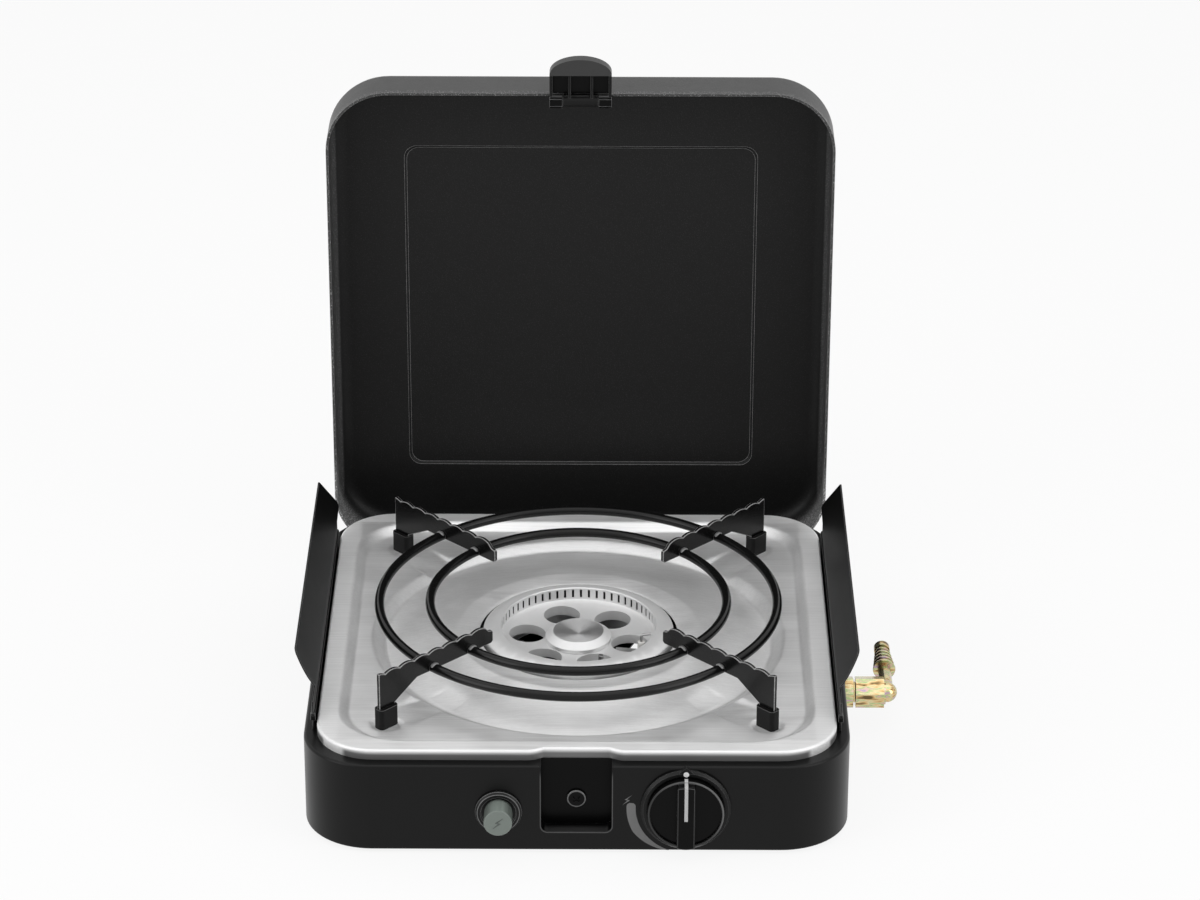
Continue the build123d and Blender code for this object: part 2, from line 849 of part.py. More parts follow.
def shield_section(side):
    """The sheet's section in (x, z): upright from the barrel to the bend, then leaning outwards."""
    half = shield_sheet / 2
    lean = math.tan(math.radians(shield_flare)) * (shield_top - shield_bend_height)
    points = [
        (shield_plane - half, shield_pivot_height),
        (shield_plane - half, shield_bend_height),
        (shield_plane - half + lean, shield_top),
        (shield_plane + half + lean, shield_top),
        (shield_plane + half, shield_bend_height),
        (shield_plane + half, shield_pivot_height),
    ]
    return [(side * x, z) for x, z in points]


def make_windshield(side):
    outline = Polygon(*shield_section(side), align=None)
    length = shield_back_tip - rail_front
    sheet = extrude(Plane.XZ.offset(-shield_back_tip) * outline, length, dir=(0, -1, 0))
    room = (side * shield_plane - 20, side * shield_plane + 20)
    sheet = sheet & extrude(Plane.YZ.offset(room[0]) * shield_side_view(), room[1] - room[0], dir=(1, 0, 0))
    ear_room = ear_thickness + side_gap
    span = (rail_front + ear_room, rail_back - ear_room)
    sheet += rod("y", shield_barrel_radius, *span, (side * shield_plane, shield_pivot_height))
    bore = shield_rod_radius + running_gap
    return sheet - rod("y", bore, rail_front - 2, rail_back + 2, (side * shield_plane, shield_pivot_height))


def shield_side_view():
    """The sheet seen from the side, as (y, z): a sloping rear and a front that bows in to its foot."""
    ear_room = ear_thickness + side_gap
    low = shield_pivot_height
    strip = shield_bend_height + 0.5
    over = shield_top
    foot = (shield_front + shield_front_slant, strip + 2)
    corner = (shield_front, over)
    outline = Polyline(
        foot,
        (foot[0] + 2, strip),
        (rail_front + ear_room, strip),
        (rail_front + ear_room, low),
        (rail_back - ear_room, low),
        (rail_back - ear_room, strip - 1.5),
        (shield_back_tip, strip - 0.5),
        (shield_back_tip, strip + 2.5),
        (shield_back_top, over),
        corner,
    )
    bow = ThreePointArc(corner, bow_middle(corner, foot), foot)
    side = make_face(outline.edges() + bow.edges())
    return fillet(side.vertices().group_by(Axis.Y)[-1], shield_tip_round)


def bow_middle(corner, foot):
    """The point half way along the windshield's bowed front edge."""
    run, drop = foot[0] - corner[0], corner[1] - foot[1]
    chord = math.hypot(run, drop)
    middle_y, middle_z = (corner[0] + foot[0]) / 2, (corner[1] + foot[1]) / 2
    return (middle_y - shield_front_bow * drop / chord, middle_z - shield_front_bow * run / chord)


def make_shield_rail(side):
    """The fixed strip that stands in the rim's slot and carries the windshield's rod at its ears."""
    x = side * shield_plane
    half = shield_sheet / 2
    top = shield_pivot_height - shield_barrel_radius - rail_top_gap
    under = rim_z - base_sheet
    rail = block(about(x, half), (rail_front, rail_back), (under - rail_depth, top))
    foot_x = (x - rail_foot - half, x + half) if side > 0 else (x - half, x + rail_foot + half)
    rail += block(foot_x, (rail_front, rail_back), (under - 1.0, under))
    for low in (rail_front, rail_back - ear_thickness):
        ear_y = (low, low + ear_thickness)
        rail += block(about(x, ear_size / 2), ear_y, (top - 1.5, shield_pivot_height))
        rail += rod("y", ear_size / 2, *ear_y, (x, shield_pivot_height))
    return rail - rod("y", shield_rod_radius + 0.02, rail_front - 2, rail_back + 2, (x, shield_pivot_height))


def make_shield_rods():
    ends = (rail_front - 0.6, rail_back + 0.6)
    places = [(side * shield_plane, shield_pivot_height) for side in (-1, 1)]
    return together(rod("y", shield_rod_radius, *ends, place) for place in places)


# ---------------------------------------------------------------- pan support


def arm_outline():
    """One arm's side view in (radius, z): scalloped on top, a leg at its outer end."""
    valley = arm_top - scallop_depth
    half = scallop_pitch / 2
    first = arm_outer - half + 0.7 - scallop_count * scallop_pitch
    edges = []
    for k in range(scallop_count):
        low = first + k * scallop_pitch
        crest = (low + half, arm_top)
        edges.append(ThreePointArc((low, valley), crest, (low + scallop_pitch, valley)))
    last = first + scallop_count * scallop_pitch
    quarter = (arm_outer - last) / 2
    edges.append(ThreePointArc((last, valley), (last + quarter, arm_top - 0.4), (arm_outer, arm_top)))
    leg_inner = arm_outer - arm_leg
    sole = boot_bottom() + boot_sole
    edges.append(
        Polyline(
            (arm_outer, arm_top),
            (arm_outer, sole),
            (leg_inner, sole),
            (leg_inner, boot_bottom() + boot_height + 0.6),
            (leg_inner - arm_knee, arm_underside),
            (arm_inner + arm_tip_slope, arm_underside),
            (arm_inner, arm_tip_low),
            (arm_inner, arm_tip_top - 1.0),
            (arm_inner + 0.6, arm_tip_top),
            (arm_inner + arm_tip_run, arm_tip_top + 0.7),
            (first, valley),
        )
    )
    return make_face(edges)


def boot_bottom():
    return pan_floor - pad_depth


def make_support_arm(angle):
    arm = extrude(Plane.XZ * arm_outline(), arm_thickness / 2, both=True)
    for radius in (inner_ring_radius, outer_ring_radius):
        gap = wire_radius + 0.05
        arm -= rod("y", gap, -arm_thickness, arm_thickness, (radius, ring_height))
        arm -= block(about(radius, gap), about(0, arm_thickness), (arm_underside - 5, ring_height))
    return Rot(0, 0, angle) * arm


def make_boots():
    reach = arm_outer - arm_leg / 2
    low = boot_bottom()
    boot = block(about(reach, boot_length / 2), about(0, boot_width / 2), (low, low + boot_height))
    boot = fillet(boot.edges().filter_by(Axis.Z), boot_corner)
    leg_x = (arm_outer - arm_leg, arm_outer)
    boot -= block(leg_x, about(0, arm_thickness / 2), (low + boot_sole, low + boot_height + 1))
    return together(Rot(0, 0, angle) * boot for angle in diagonal_angles())


# ---------------------------------------------------------------- burner


def make_burner_head():
    """The cap of the gas channel, whose inner wall has the flame slots."""
    inner = burner_bore
    wall = burner_bore + burner_wall
    outer = burner_radius - burner_wall
    head = turned(
        [
            (inner, burner_split_height),
            (inner, burner_lip_height - 0.6),
            (inner + 0.6, burner_lip_height),
            (inner + 3.4, burner_lip_height),
            (burner_radius - 1.0, burner_shoulder_height),
            (burner_radius, burner_shoulder_height - 1.0),
            (burner_radius, burner_split_height),
            (outer, burner_split_height),
            (outer, burner_shoulder_height - 2.2),
            (wall + 1.6, burner_lip_height - 1.6),
            (wall, burner_lip_height - 1.6),
            (wall, burner_split_height),
        ]
    )
    slot_top = burner_lip_height - 1.5
    cutter = block((inner - 1, wall + 0.6), about(0, slot_width / 2), (slot_top - slot_height, slot_top))
    return head - [Rot(0, 0, slot_start + 360.0 / slot_count * k) * cutter for k in range(slot_count)]


def make_burner_bowl():
    """The cast floor with its air holes, and the trough that spreads the gas under the cap."""
    inner = burner_bore
    wall = burner_bore + burner_wall
    outer = burner_radius - burner_wall
    low = burner_trough_height
    floor_low = burner_floor_height - burner_floor_thickness
    bowl = turned(
        [
            (2.2, floor_low),
            (2.2, burner_floor_height),
            (hub_radius + 1, burner_floor_height),
            (inner - 3.5, burner_floor_height + 0.8),
            (inner - 1.0, burner_split_height - 1.0),
            (inner, burner_split_height),
            (wall, burner_split_height),
            (wall, low + burner_trough_floor),
            (outer, low + burner_trough_floor),
            (outer, burner_split_height),
            (burner_radius, burner_split_height),
            (burner_radius, low),
            (inner, low),
            (inner - 1.4, floor_low),
        ]
    )
    pad = (mixing_end_y, -(burner_radius - 4.0))
    bowl += block(about(0, 10.0), pad, (low, burner_split_height)) - tube_channel()
    bowl -= rod("y", mixing_bore, pad[0] - 1, -outer + 2.5, (0, mixing_height))
    hole = rod("z", air_hole_radius, floor_low - 1, burner_split_height, (air_hole_ring, 0))
    step = 360.0 / air_hole_count
    return bowl - [Rot(0, 0, air_hole_start + step * k) * hole for k in range(air_hole_count)]


def tube_channel():
    """The open inside of the trough, kept clear of the inlet pad."""
    low = burner_trough_height + burner_trough_floor
    outer = burner_radius - burner_wall
    return rod("z", outer, low, burner_split_height + 1, (0, 0)) + rod("z", outer, 0, low, (0, 0))


def make_burner_hub():
    """The turned cap in the middle, with a shallow cone sunk into its face."""
    low = burner_floor_height
    top = low + hub_height
    return turned(
        [
            (0, low - hub_stem),
            (hub_stem_radius, low - hub_stem),
            (hub_stem_radius, low),
            (hub_radius, low),
            (hub_radius, top - hub_chamfer - 1.2),
            (hub_face_radius, top),
            (hub_dimple_radius, top),
            (0, top - hub_dimple_depth),
        ]
    )


def post_places():
    return [(post_ring * math.cos(a), post_ring * math.sin(a)) for a in map(math.radians, (90, 210, 330))]


def make_burner_posts():
    bore = 1.7
    span = (plate_top, burner_trough_height)
    return together(tube("z", post_radius, bore, *span, place) for place in post_places())


def make_burner_screws():
    screws = []
    for place in post_places():
        shank = rod("z", 1.6, plate_top + 0.4, burner_trough_height, place)
        screws.append(shank)
    return together(screws)


def make_mixing_tube():
    """The tube that draws air in with the gas, flared at its mouth."""
    flare = 6.0
    throat = mixing_mouth - 1.5
    outside = [
        (0, 0),
        (mixing_mouth, 0),
        (mixing_mouth, 1.5),
        (mixing_radius, flare + 1.5),
        (mixing_radius, mixing_length),
        (0, mixing_length),
    ]
    inside = [
        (0, -1),
        (throat, -1),
        (throat, 0.5),
        (mixing_bore, flare),
        (mixing_bore, mixing_length + 1),
        (0, mixing_length + 1),
    ]
    tube_form = turned(outside) - turned(inside)
    return Pos(0, mixing_end_y - mixing_length, mixing_height) * Rot(-90, 0, 0) * tube_form


def make_injector():
    nozzle = rod("y", injector_radius, injector_back_y, injector_tip_y - 3, (0, mixing_height))
    nozzle += rod("y", 2.4, injector_tip_y - 3, injector_tip_y, (0, mixing_height))
    return nozzle - rod("y", 0.5, injector_back_y - 1, injector_tip_y + 1, (0, mixing_height))


def make_injector_bracket():
    rise = injector_bracket_rise
    y = injector_tip_y - rise
    width, front = about(0, injector_bracket_width / 2), y + bracket_sheet
    upright = block(width, (y, front), (plate_top, mixing_height + rise))
    foot = block(width, (y - injector_bracket_foot, front), (plate_top, plate_top + bracket_sheet))
    bracket = upright + foot
    return bracket - rod("y", injector_radius + screw_clearance, y - 1, y + 3, (0, mixing_height))


# ---------------------------------------------------------------- electrode and flame sensor


def make_electrode_ceramic():
    low = burner_floor_height - 13
    return rod("z", ceramic_radius, low, burner_floor_height + 1.6, electrode_place)


def make_electrode_wire():
    x, y = electrode_place
    low = burner_floor_height + 1.6
    reach = burner_bore - 3.0
    points = [(x, y, low), (x, y, low + 4.4), (reach, y, low + 5.2)]
    return bent_rod(points, [1.6], electrode_wire)


def make_flame_sensor():
    low = burner_floor_height - 16
    sensor = rod("z", sensor_radius, low, burner_floor_height + sensor_rise, sensor_place)
    return sensor + rod("z", sensor_radius + 0.8, low + 2, low + 8, sensor_place)


def make_sensor_clips():
    """Two small plates under the burner's floor that hold the electrode and the flame sensor."""
    top = burner_floor_height - burner_floor_thickness
    clips = []
    for place, radius in ((electrode_place, ceramic_radius), (sensor_place, sensor_radius)):
        reach = math.hypot(*place)
        turn = math.degrees(math.atan2(place[1], place[0]))
        span = (reach - clip_inner, clip_outer)
        clip = Rot(0, 0, turn) * block(span, about(0, clip_width / 2), (top - clip_sheet, top))
        clips.append(clip - rod("z", radius + screw_clearance, top - 3, top + 1, place))
    return together(clips)


# ---------------------------------------------------------------- igniter


def make_igniter_bezel():
    centre = (igniter_x, igniter_height)
    ring = rod("y", igniter_bezel_radius, front_y - igniter_bezel_height, front_y, centre)
    ring = chamfer(ring.edges().group_by(Axis.Y)[0], 1.3)
    ring -= rod("y", igniter_bezel_bore, front_y - igniter_bezel_height - 1, front_y - 1.4, centre)
    return ring - rod("y", igniter_barrel_radius + screw_clearance, front_y - 4, front_y + 1, centre)


def make_piezo_igniter():
    centre = (igniter_x, igniter_height)
    mouth = front_y - 1.4
    barrel = rod("y", igniter_barrel_radius, mouth, mouth + igniter_barrel_length, centre)
    pocket = front_y + igniter_button_depth + igniter_travel + 0.8
    barrel -= rod("y", igniter_button_radius + igniter_button_gap, mouth - 1, pocket, centre)
    return barrel + rod("y", 2.4, mouth + igniter_barrel_length, mouth + igniter_barrel_length + 5, centre)


def make_igniter_button():
    centre = (igniter_x, igniter_height)
    button = rod("y", igniter_button_radius, igniter_front, front_y + igniter_button_depth, centre)
    return fillet(button.edges().group_by(Axis.Y)[0], 0.8)


def make_igniter_nut():
    centre = (igniter_x, igniter_height)
    nut = rod("y", igniter_nut_radius, inner_front_y, inner_front_y + igniter_nut_height, centre)
    nut -= rod("y", igniter_barrel_radius + screw_clearance, inner_front_y - 1, inner_front_y + 9, centre)
    for k in range(8):
        turn = math.radians(45.0 * k)
        across, up = igniter_nut_radius * math.cos(turn), igniter_nut_radius * math.sin(turn)
        place = (igniter_x + across, igniter_height + up)
        nut -= rod("y", 1.5, inner_front_y - 1, inner_front_y + 9, place)
    return nut


# ---------------------------------------------------------------- gas control


def make_knob_bezel():
    centre = (knob_x, knob_height)
    top = front_y - bezel_height
    ring = rod("y", bezel_radius, top, front_y, centre)
    ring = chamfer(ring.edges().group_by(Axis.Y)[0], 1.4)
    peak = Polygon(
        (-bezel_peak_half, bezel_radius - 1.5),
        (0, bezel_radius + bezel_peak),
        (bezel_peak_half, bezel_radius - 1.5),
        align=None,
    )
    peak = Pos(knob_x, front_y, knob_height) * Rot(90, 0, 0) * peak
    ring += extrude(peak, bezel_height, dir=(0, -1, 0))
    ring -= rod("y", bezel_bore, top - 1, front_y - bezel_floor, centre)
    return ring - rod("y", knob_boss_radius + 0.6, top - 1, front_y + 1, centre)


def make_control_knob():
    centre = (knob_x, knob_height)
    knob = rod("y", knob_radius, knob_face, knob_back, centre)
    knob = fillet(knob.edges().group_by(Axis.Y)[0], 0.6)
    dish_y = (knob_face - 1, knob_face + knob_dish)
    dish_form = rod("y", knob_radius - knob_rim, *dish_y, centre)
    knob -= dish_form
    bar = rod("y", knob_radius - knob_bar_end, knob_bar_face, knob_face + knob_dish, centre)
    bar = fillet(bar.edges().group_by(Axis.Y)[0], 1.2)
    span = (knob_bar_face - 1, knob_back)
    bar = bar & block(about(knob_x, knob_bar_width / 2), span, about(knob_height, 30))
    bar = chamfer(bar.edges().filter_by(Axis.Z).group_by(Axis.Y)[0], 0.7)
    knob += bar
    knob += rod("y", knob_boss_radius, knob_back, washer_front, centre)
    return knob - rod("y", spindle_radius + screw_clearance, knob_face, washer_front + 1, centre)


def make_valve_spindle():
    start, end = knob_face + 0.3, valve_front + 12
    return rod("y", spindle_radius, start, end, (knob_x, knob_height))


def make_thrust_washer():
    centre = (knob_x, knob_height)
    bore = spindle_radius + running_gap
    front = washer_front + side_gap
    return tube("y", washer_radius, bore, front, front + washer_thickness, centre)


def make_valve_body():
    centre = (knob_x, knob_height)
    half_w, half_h = valve_width / 2, valve_body_height / 2
    span = (valve_front + 4, valve_front + valve_depth)
    body = block(about(knob_x, half_w), span, about(knob_height, half_h))
    body = chamfer(body.edges().filter_by(Axis.Y), 3.0)
    body += rod("y", 8.6, valve_front, valve_front + 4, centre)
    back = valve_front + valve_depth
    body += rod("y", 6.5, back, back + 6, (knob_x, knob_height - 5))
    depth = valve_front + 12 + knob_travel + 0.6
    return body - rod("y", spindle_radius + running_gap, valve_front - 1, depth, centre)


def make_valve_bracket():
    top = knob_height - valve_body_height / 2
    wide, y_range = about(knob_x, 12.0), (valve_front + 8, valve_front + valve_depth - 4)
    bracket = block(wide, y_range, (plate_top, top))
    bracket -= block(about(knob_x, 10.4), (y_range[0] - 1, y_range[1] + 1), (plate_top - 1, top - 1.6))
    for side in (-1, 1):
        foot_x = (knob_x + 11.0, knob_x + 20.0) if side > 0 else (knob_x - 20.0, knob_x - 11.0)
        bracket += block(foot_x, y_range, (plate_top, plate_top + 1.6))
    return bracket


# ---------------------------------------------------------------- gas inlet and pipes


def make_inlet_connector():
    """The threaded stub that passes through the side wall."""
    stub = rod("x", inlet_thread_radius, side_x - pipe_start, union_start - 0.2, (inlet_y, inlet_height))
    flange = rod("x", 9.0, side_x - base_sheet - 3, side_x - base_sheet, (inlet_y, inlet_height))
    bore = rod("x", 2.6, side_x - 13, union_start + 1, (inlet_y, inlet_height))
    return stub + flange - bore


def make_lock_nut():
    low = side_x + 2.8
    nut = hexagon_bar((inlet_y, inlet_height), inlet_flat, low, low + lock_nut_length)
    nut += rod("x", 8.2, side_x, low, (inlet_y, inlet_height))
    thread = inlet_thread_radius + screw_clearance
    return nut - rod("x", thread, side_x - 1, low + 9, (inlet_y, inlet_height))


def make_hose_elbow():
    """The union's hexagon, the elbow and the barbed tail in one brass turning."""
    centre = (inlet_y, inlet_height)
    elbow = hexagon_bar(centre, inlet_flat, union_start, union_start + union_length - 2)
    elbow += rod("x", 7.6, union_start + union_length - 2, union_start + union_length - 1, centre)
    elbow += rod("x", elbow_radius, union_start + union_length - 1, elbow_x, centre)
    elbow += Pos(elbow_x, inlet_y, inlet_height) * Sphere(elbow_radius)
    elbow += rod("y", tail_radius, inlet_y, inlet_y + tail_reach, (elbow_x, inlet_height))
    elbow += barbs()
    land = (inlet_y + tail_reach - tail_land, inlet_y + tail_reach)
    elbow += rod("y", tail_land_radius, *land, (elbow_x, inlet_height))
    elbow -= rod("y", tail_bore, inlet_y, inlet_y + tail_reach + 1, (elbow_x, inlet_height))
    return elbow - rod("x", tail_bore, union_start - 1, elbow_x, centre)


def barbs():
    """A row of cones that get smaller towards the tip, each with a square shoulder."""
    pitch = (tail_reach - tail_land - barb_start) / barb_count
    points = [(0, 0)]
    for k in range(barb_count):
        large = barb_large + (barb_small - barb_large) * k / (barb_count - 1)
        points += [(large - 0.2, k * pitch), (large, k * pitch + 0.8), (large - 1.1, (k + 1) * pitch)]
    points.append((0, barb_count * pitch))
    row = turned(points)
    return Pos(elbow_x, inlet_y + barb_start, inlet_height) * Rot(-90, 0, 0) * row


def make_inlet_pipe():
    valve_side = knob_x + valve_width / 2
    points = [
        (side_x - pipe_start, inlet_y, inlet_height),
        (side_x - pipe_first_bend, inlet_y, inlet_height),
        (side_x - pipe_low_bend[0], pipe_low_bend[1], pipe_low_bend[2]),
        (side_x - pipe_last_bend, valve_mid_y, knob_height),
        (valve_side, valve_mid_y, knob_height),
    ]
    return bent_rod(points, [12.0, 30.0, 14.0], pipe_radius)


def make_burner_pipe():
    valve_side = knob_x - valve_width / 2
    points = [
        (valve_side, valve_mid_y, knob_height),
        (valve_side - burner_pipe_bend, valve_mid_y, knob_height),
        (0, valve_mid_y, mixing_height),
        (0, injector_back_y, mixing_height),
    ]
    return bent_rod(points, [12.0, 8.0], pipe_radius)


def make_ignition_lead():
    start = front_y - 1.4 + igniter_barrel_length + 5
    x, y = electrode_place
    low = burner_floor_height - 13
    points = [
        (igniter_x, start, igniter_height),
        (igniter_x, start + 14, igniter_height),
        (-34.0, -72.0, 20.0),
        (-12.0, -44.0, 15.0),
        (14.0, -22.0, 15.0),
        (x - 2, y - 6, 20.0),
        (x, y, low - 14),
        (x, y, low),
    ]
    return bent_rod(points, [14.0, 22.0, 22.0, 22.0, 9.0, 6.0], lead_radius)


def make_sensor_lead():
    x, y = sensor_place
    low = burner_floor_height - 16
    valve_back = valve_front + valve_depth + 6
    points = [
        (x, y, low),
        (x, y, low - 13),
        (x + 9, y - 8, 17.0),
        (x + 28, y - 24, 15.0),
        (knob_x - 6, valve_back + 26, 18.0),
        (knob_x, valve_back + 12, knob_height - 5),
        (knob_x, valve_back, knob_height - 5),
    ]
    return bent_rod(points, [7.0, 8.0, 16.0, 9.0, 5.0], lead_radius)


# ---------------------------------------------------------------- the assembly


def build_all():
    keep("base_housing", make_base_housing())
    keep("bottom_plate", make_bottom_plate())
    keep("rubber_feet", make_rubber_feet())
    keep("bottom_screws", make_bottom_screws())
    keep("drip_tray", make_drip_tray())
    keep("recess_screw", make_recess_screw())
    keep("recess_nut", make_recess_nut())

    keep("lid_shell", lid_opened(make_lid_shell()))
    keep("hinge_rivets", make_hinge_rivets())
    keep("hinge_pins", make_hinge_pins())
    keep("latch_bracket", make_latch_bracket())
    keep("latch_pin", make_latch_pin())
    keep("lid_latch", make_latch())
    for name, side in (("left", -1), ("right", 1)):
        keep("hinge_arm_" + name, make_hinge_arm(side))
        keep("hinge_bracket_" + name, make_hinge_bracket(side))
        keep("windshield_" + name, make_windshield(side))
        keep("windshield_rail_" + name, make_shield_rail(side))
    keep("windshield_rods", make_shield_rods())

    keep("outer_support_ring", Pos(0, 0, ring_height) * Torus(outer_ring_radius, wire_radius))
    keep("inner_support_ring", Pos(0, 0, ring_height) * Torus(inner_ring_radius, wire_radius))
    corners = ("back_right", "back_left", "front_left", "front_right")
    for name, angle in zip(corners, diagonal_angles()):
        keep("support_arm_" + name, make_support_arm(angle))
    keep("support_boots", make_boots())

    keep("burner_head", make_burner_head())
    keep("burner_bowl", make_burner_bowl())
    keep("burner_hub", make_burner_hub())
    keep("burner_posts", make_burner_posts())
    keep("burner_screws", make_burner_screws())
    keep("mixing_tube", make_mixing_tube())
    keep("injector", make_injector())
    keep("injector_bracket", make_injector_bracket())
    keep("electrode_ceramic", make_electrode_ceramic())
    keep("electrode_wire", make_electrode_wire())
    keep("flame_sensor", make_flame_sensor())
    keep("sensor_clips", make_sensor_clips())

    keep("igniter_bezel", make_igniter_bezel())
    keep("piezo_igniter", make_piezo_igniter())
    keep("igniter_button", make_igniter_button())
    keep("igniter_nut", make_igniter_nut())
    keep("ignition_lead", make_ignition_lead())
    keep("sensor_lead", make_sensor_lead())

    keep("knob_bezel", make_knob_bezel())
    keep("control_knob", make_control_knob())
    keep("valve_spindle", make_valve_spindle())
    keep("thrust_washer", make_thrust_washer())
    keep("valve_body", make_valve_body())
    keep("valve_bracket", make_valve_bracket())
    keep("inlet_connector", make_inlet_connector())
    keep("lock_nut", make_lock_nut())
    keep("hose_elbow", make_hose_elbow())
    keep("inlet_pipe", make_inlet_pipe())
    keep("burner_pipe", make_burner_pipe())


build_all()
os.makedirs("parts", exist_ok=True)
for node, shape in nodes.items():
    export_step(shape, "parts/" + node + ".step")
print("nodes", len(nodes))
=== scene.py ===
# %% [markdown]
# # A camping gas stove, dressed around its solids
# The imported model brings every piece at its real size: housing, tray, lid, windshields, pan support,
# burner, igniter, valve and hose fitting. This lesson gives them their finishes, and remodels the
# pieces whose pressing, casting or moulding the plain solids can't show. Blender works in metres,
# and every piece stands where the solids stand, so nothing has to be fitted afterwards.

# %% load the frame
import bpy
import json
import math
from mathutils import Matrix, Vector


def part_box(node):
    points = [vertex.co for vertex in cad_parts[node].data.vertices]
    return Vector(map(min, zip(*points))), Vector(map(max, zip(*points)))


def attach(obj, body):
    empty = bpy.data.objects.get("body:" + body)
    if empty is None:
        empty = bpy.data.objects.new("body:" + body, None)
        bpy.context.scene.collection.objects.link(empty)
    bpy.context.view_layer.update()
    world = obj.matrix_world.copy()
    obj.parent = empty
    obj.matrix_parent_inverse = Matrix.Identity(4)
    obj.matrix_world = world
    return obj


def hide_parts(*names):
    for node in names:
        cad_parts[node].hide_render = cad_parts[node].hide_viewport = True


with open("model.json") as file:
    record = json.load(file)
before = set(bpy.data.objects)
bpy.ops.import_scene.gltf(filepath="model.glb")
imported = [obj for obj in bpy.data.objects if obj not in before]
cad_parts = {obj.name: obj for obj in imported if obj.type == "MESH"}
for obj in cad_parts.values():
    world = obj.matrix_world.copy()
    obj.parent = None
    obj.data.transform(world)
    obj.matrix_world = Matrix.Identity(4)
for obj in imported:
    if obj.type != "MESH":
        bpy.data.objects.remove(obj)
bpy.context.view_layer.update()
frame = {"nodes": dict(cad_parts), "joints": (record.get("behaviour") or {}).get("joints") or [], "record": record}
MM = 0.001

# %% [markdown]
# ## The camera
# The stove is seen from in front and a little above, from more than two metres away, with a long
# lens. That keeps its upright edges nearly parallel. The camera's place is written in millimetres,
# and its direction as three turns: sideways, downwards and about its own axis. From those come the
# three directions of its frame, which fill the columns of its matrix.

# %% camera
CAMERA_PLACE = Vector((16.2, -2269.7, 1284.9)) * MM
CAMERA_TURN = math.radians(-0.085)
CAMERA_DROP = math.radians(25.868)
CAMERA_ROLL = math.radians(0.184)
CAMERA_LENS = 126.5


def aim_camera():
    """Creates the camera and turns it by its three angles."""
    level = math.cos(CAMERA_DROP)
    ahead = Vector((math.sin(CAMERA_TURN) * level, math.cos(CAMERA_TURN) * level, -math.sin(CAMERA_DROP)))
    flat_right = Vector((math.cos(CAMERA_TURN), -math.sin(CAMERA_TURN), 0))
    flat_up = flat_right.cross(ahead)
    right = math.cos(CAMERA_ROLL) * flat_right + math.sin(CAMERA_ROLL) * flat_up
    up = math.cos(CAMERA_ROLL) * flat_up - math.sin(CAMERA_ROLL) * flat_right
    lens = bpy.data.cameras.new("stove_camera")
    lens.lens = CAMERA_LENS
    lens.sensor_width = 36
    camera = bpy.data.objects.new("stove_camera", lens)
    bpy.context.scene.collection.objects.link(camera)
    camera.matrix_world = Matrix.LocRotScale(CAMERA_PLACE, Matrix((right, up, -ahead)).transposed(), None)
    bpy.context.scene.camera = camera
    return camera


camera = aim_camera()
print("camera at", [round(v, 3) for v in camera.location])

# %% [markdown]
# ## Shader sums
# A finish is a sum of noises, masks and ramps. Wiring such sums node by node is long and hard to
# read, so one small class wraps a socket and lets it be added, multiplied and subtracted like a
# number. Colours go through a Mix node, because a Math node would turn them grey. A mask is a step
# in a point's place, or a band between two such steps, both written in millimetres.


# %% a wire that can be written in sums
class Wire:
    """The output of one shader node, on which sums can be written."""

    def __init__(self, socket):
        self.socket = socket
        self.tree = socket.id_data

    def sum(self, operation, first, second):
        return make_node(self.tree, "ShaderNodeMath", {"operation": operation}, {0: first, 1: second})

    def __add__(self, other):
        return self.sum("ADD", self, other)

    def __sub__(self, other):
        return self.sum("SUBTRACT", self, other)

    def __mul__(self, other):
        return self.sum("MULTIPLY", self, other)

    def __truediv__(self, other):
        return self.sum("DIVIDE", self, other)

    def __rsub__(self, other):
        return self.sum("SUBTRACT", other, self)

    __radd__ = __add__
    __rmul__ = __mul__

    def power(self, other):
        return self.sum("POWER", self, other)

    def most(self, other):
        return self.sum("MAXIMUM", self, other)

    def absolute(self):
        return self.sum("ABSOLUTE", self, 0.0)

    def fraction(self):
        return self.sum("FRACT", self, 0.0)

    def sine(self):
        return self.sum("SINE", self, 0.0)

    def step(self, low, high):
        """0 below low, 1 above high, and a smooth climb between them."""
        settings = {"interpolation_type": "SMOOTHSTEP"}
        sockets = {"Value": self, "From Min": low, "From Max": high}
        return make_node(self.tree, "ShaderNodeMapRange", settings, sockets)

    def past(self, low, high):
        """The same for a place on the object, with low and high in mm."""
        return self.step(low * MM, high * MM)

    def band(self, rise, fall):
        """1 between two places; each is a pair in mm, over which the mask climbs or falls."""
        return self.past(*rise) * (1 - self.past(*fall))


def make_node(tree, kind, settings=None, sockets=None, output=0):
    """Adds a node: its settings first, then the values or wires of its sockets."""
    node = tree.nodes.new(kind)
    for name, value in (settings or {}).items():
        if name == "stops":
            ramp = node.color_ramp.elements
            while len(ramp) < len(value):
                ramp.new(0.5)
            for stop, (place, colour) in zip(ramp, value):
                stop.position, stop.color = place, (*colour, 1)
        else:
            setattr(node, name, value)
    for name, value in (sockets or {}).items():
        if isinstance(value, Wire):
            tree.links.new(value.socket, node.inputs[name])
        else:
            node.inputs[name].default_value = value
    return Wire(node.outputs[output])


def reach_from(first, second):
    """How far a point lies from an axis, from its two places across the axis."""
    return (first * first + second * second).power(0.5)


print("shader sums ready")

# %% [markdown]
# ## The workbench of a finish
# Each finish starts from the same bench: a Principled shader, and the place of a point in the
# object's own space. All pieces sit at the origin, so that place is the real place in metres, and a
# grain of 0.4 mm has a scale of 1 / 0.0004. Patterns made this way stay put when a joint moves.


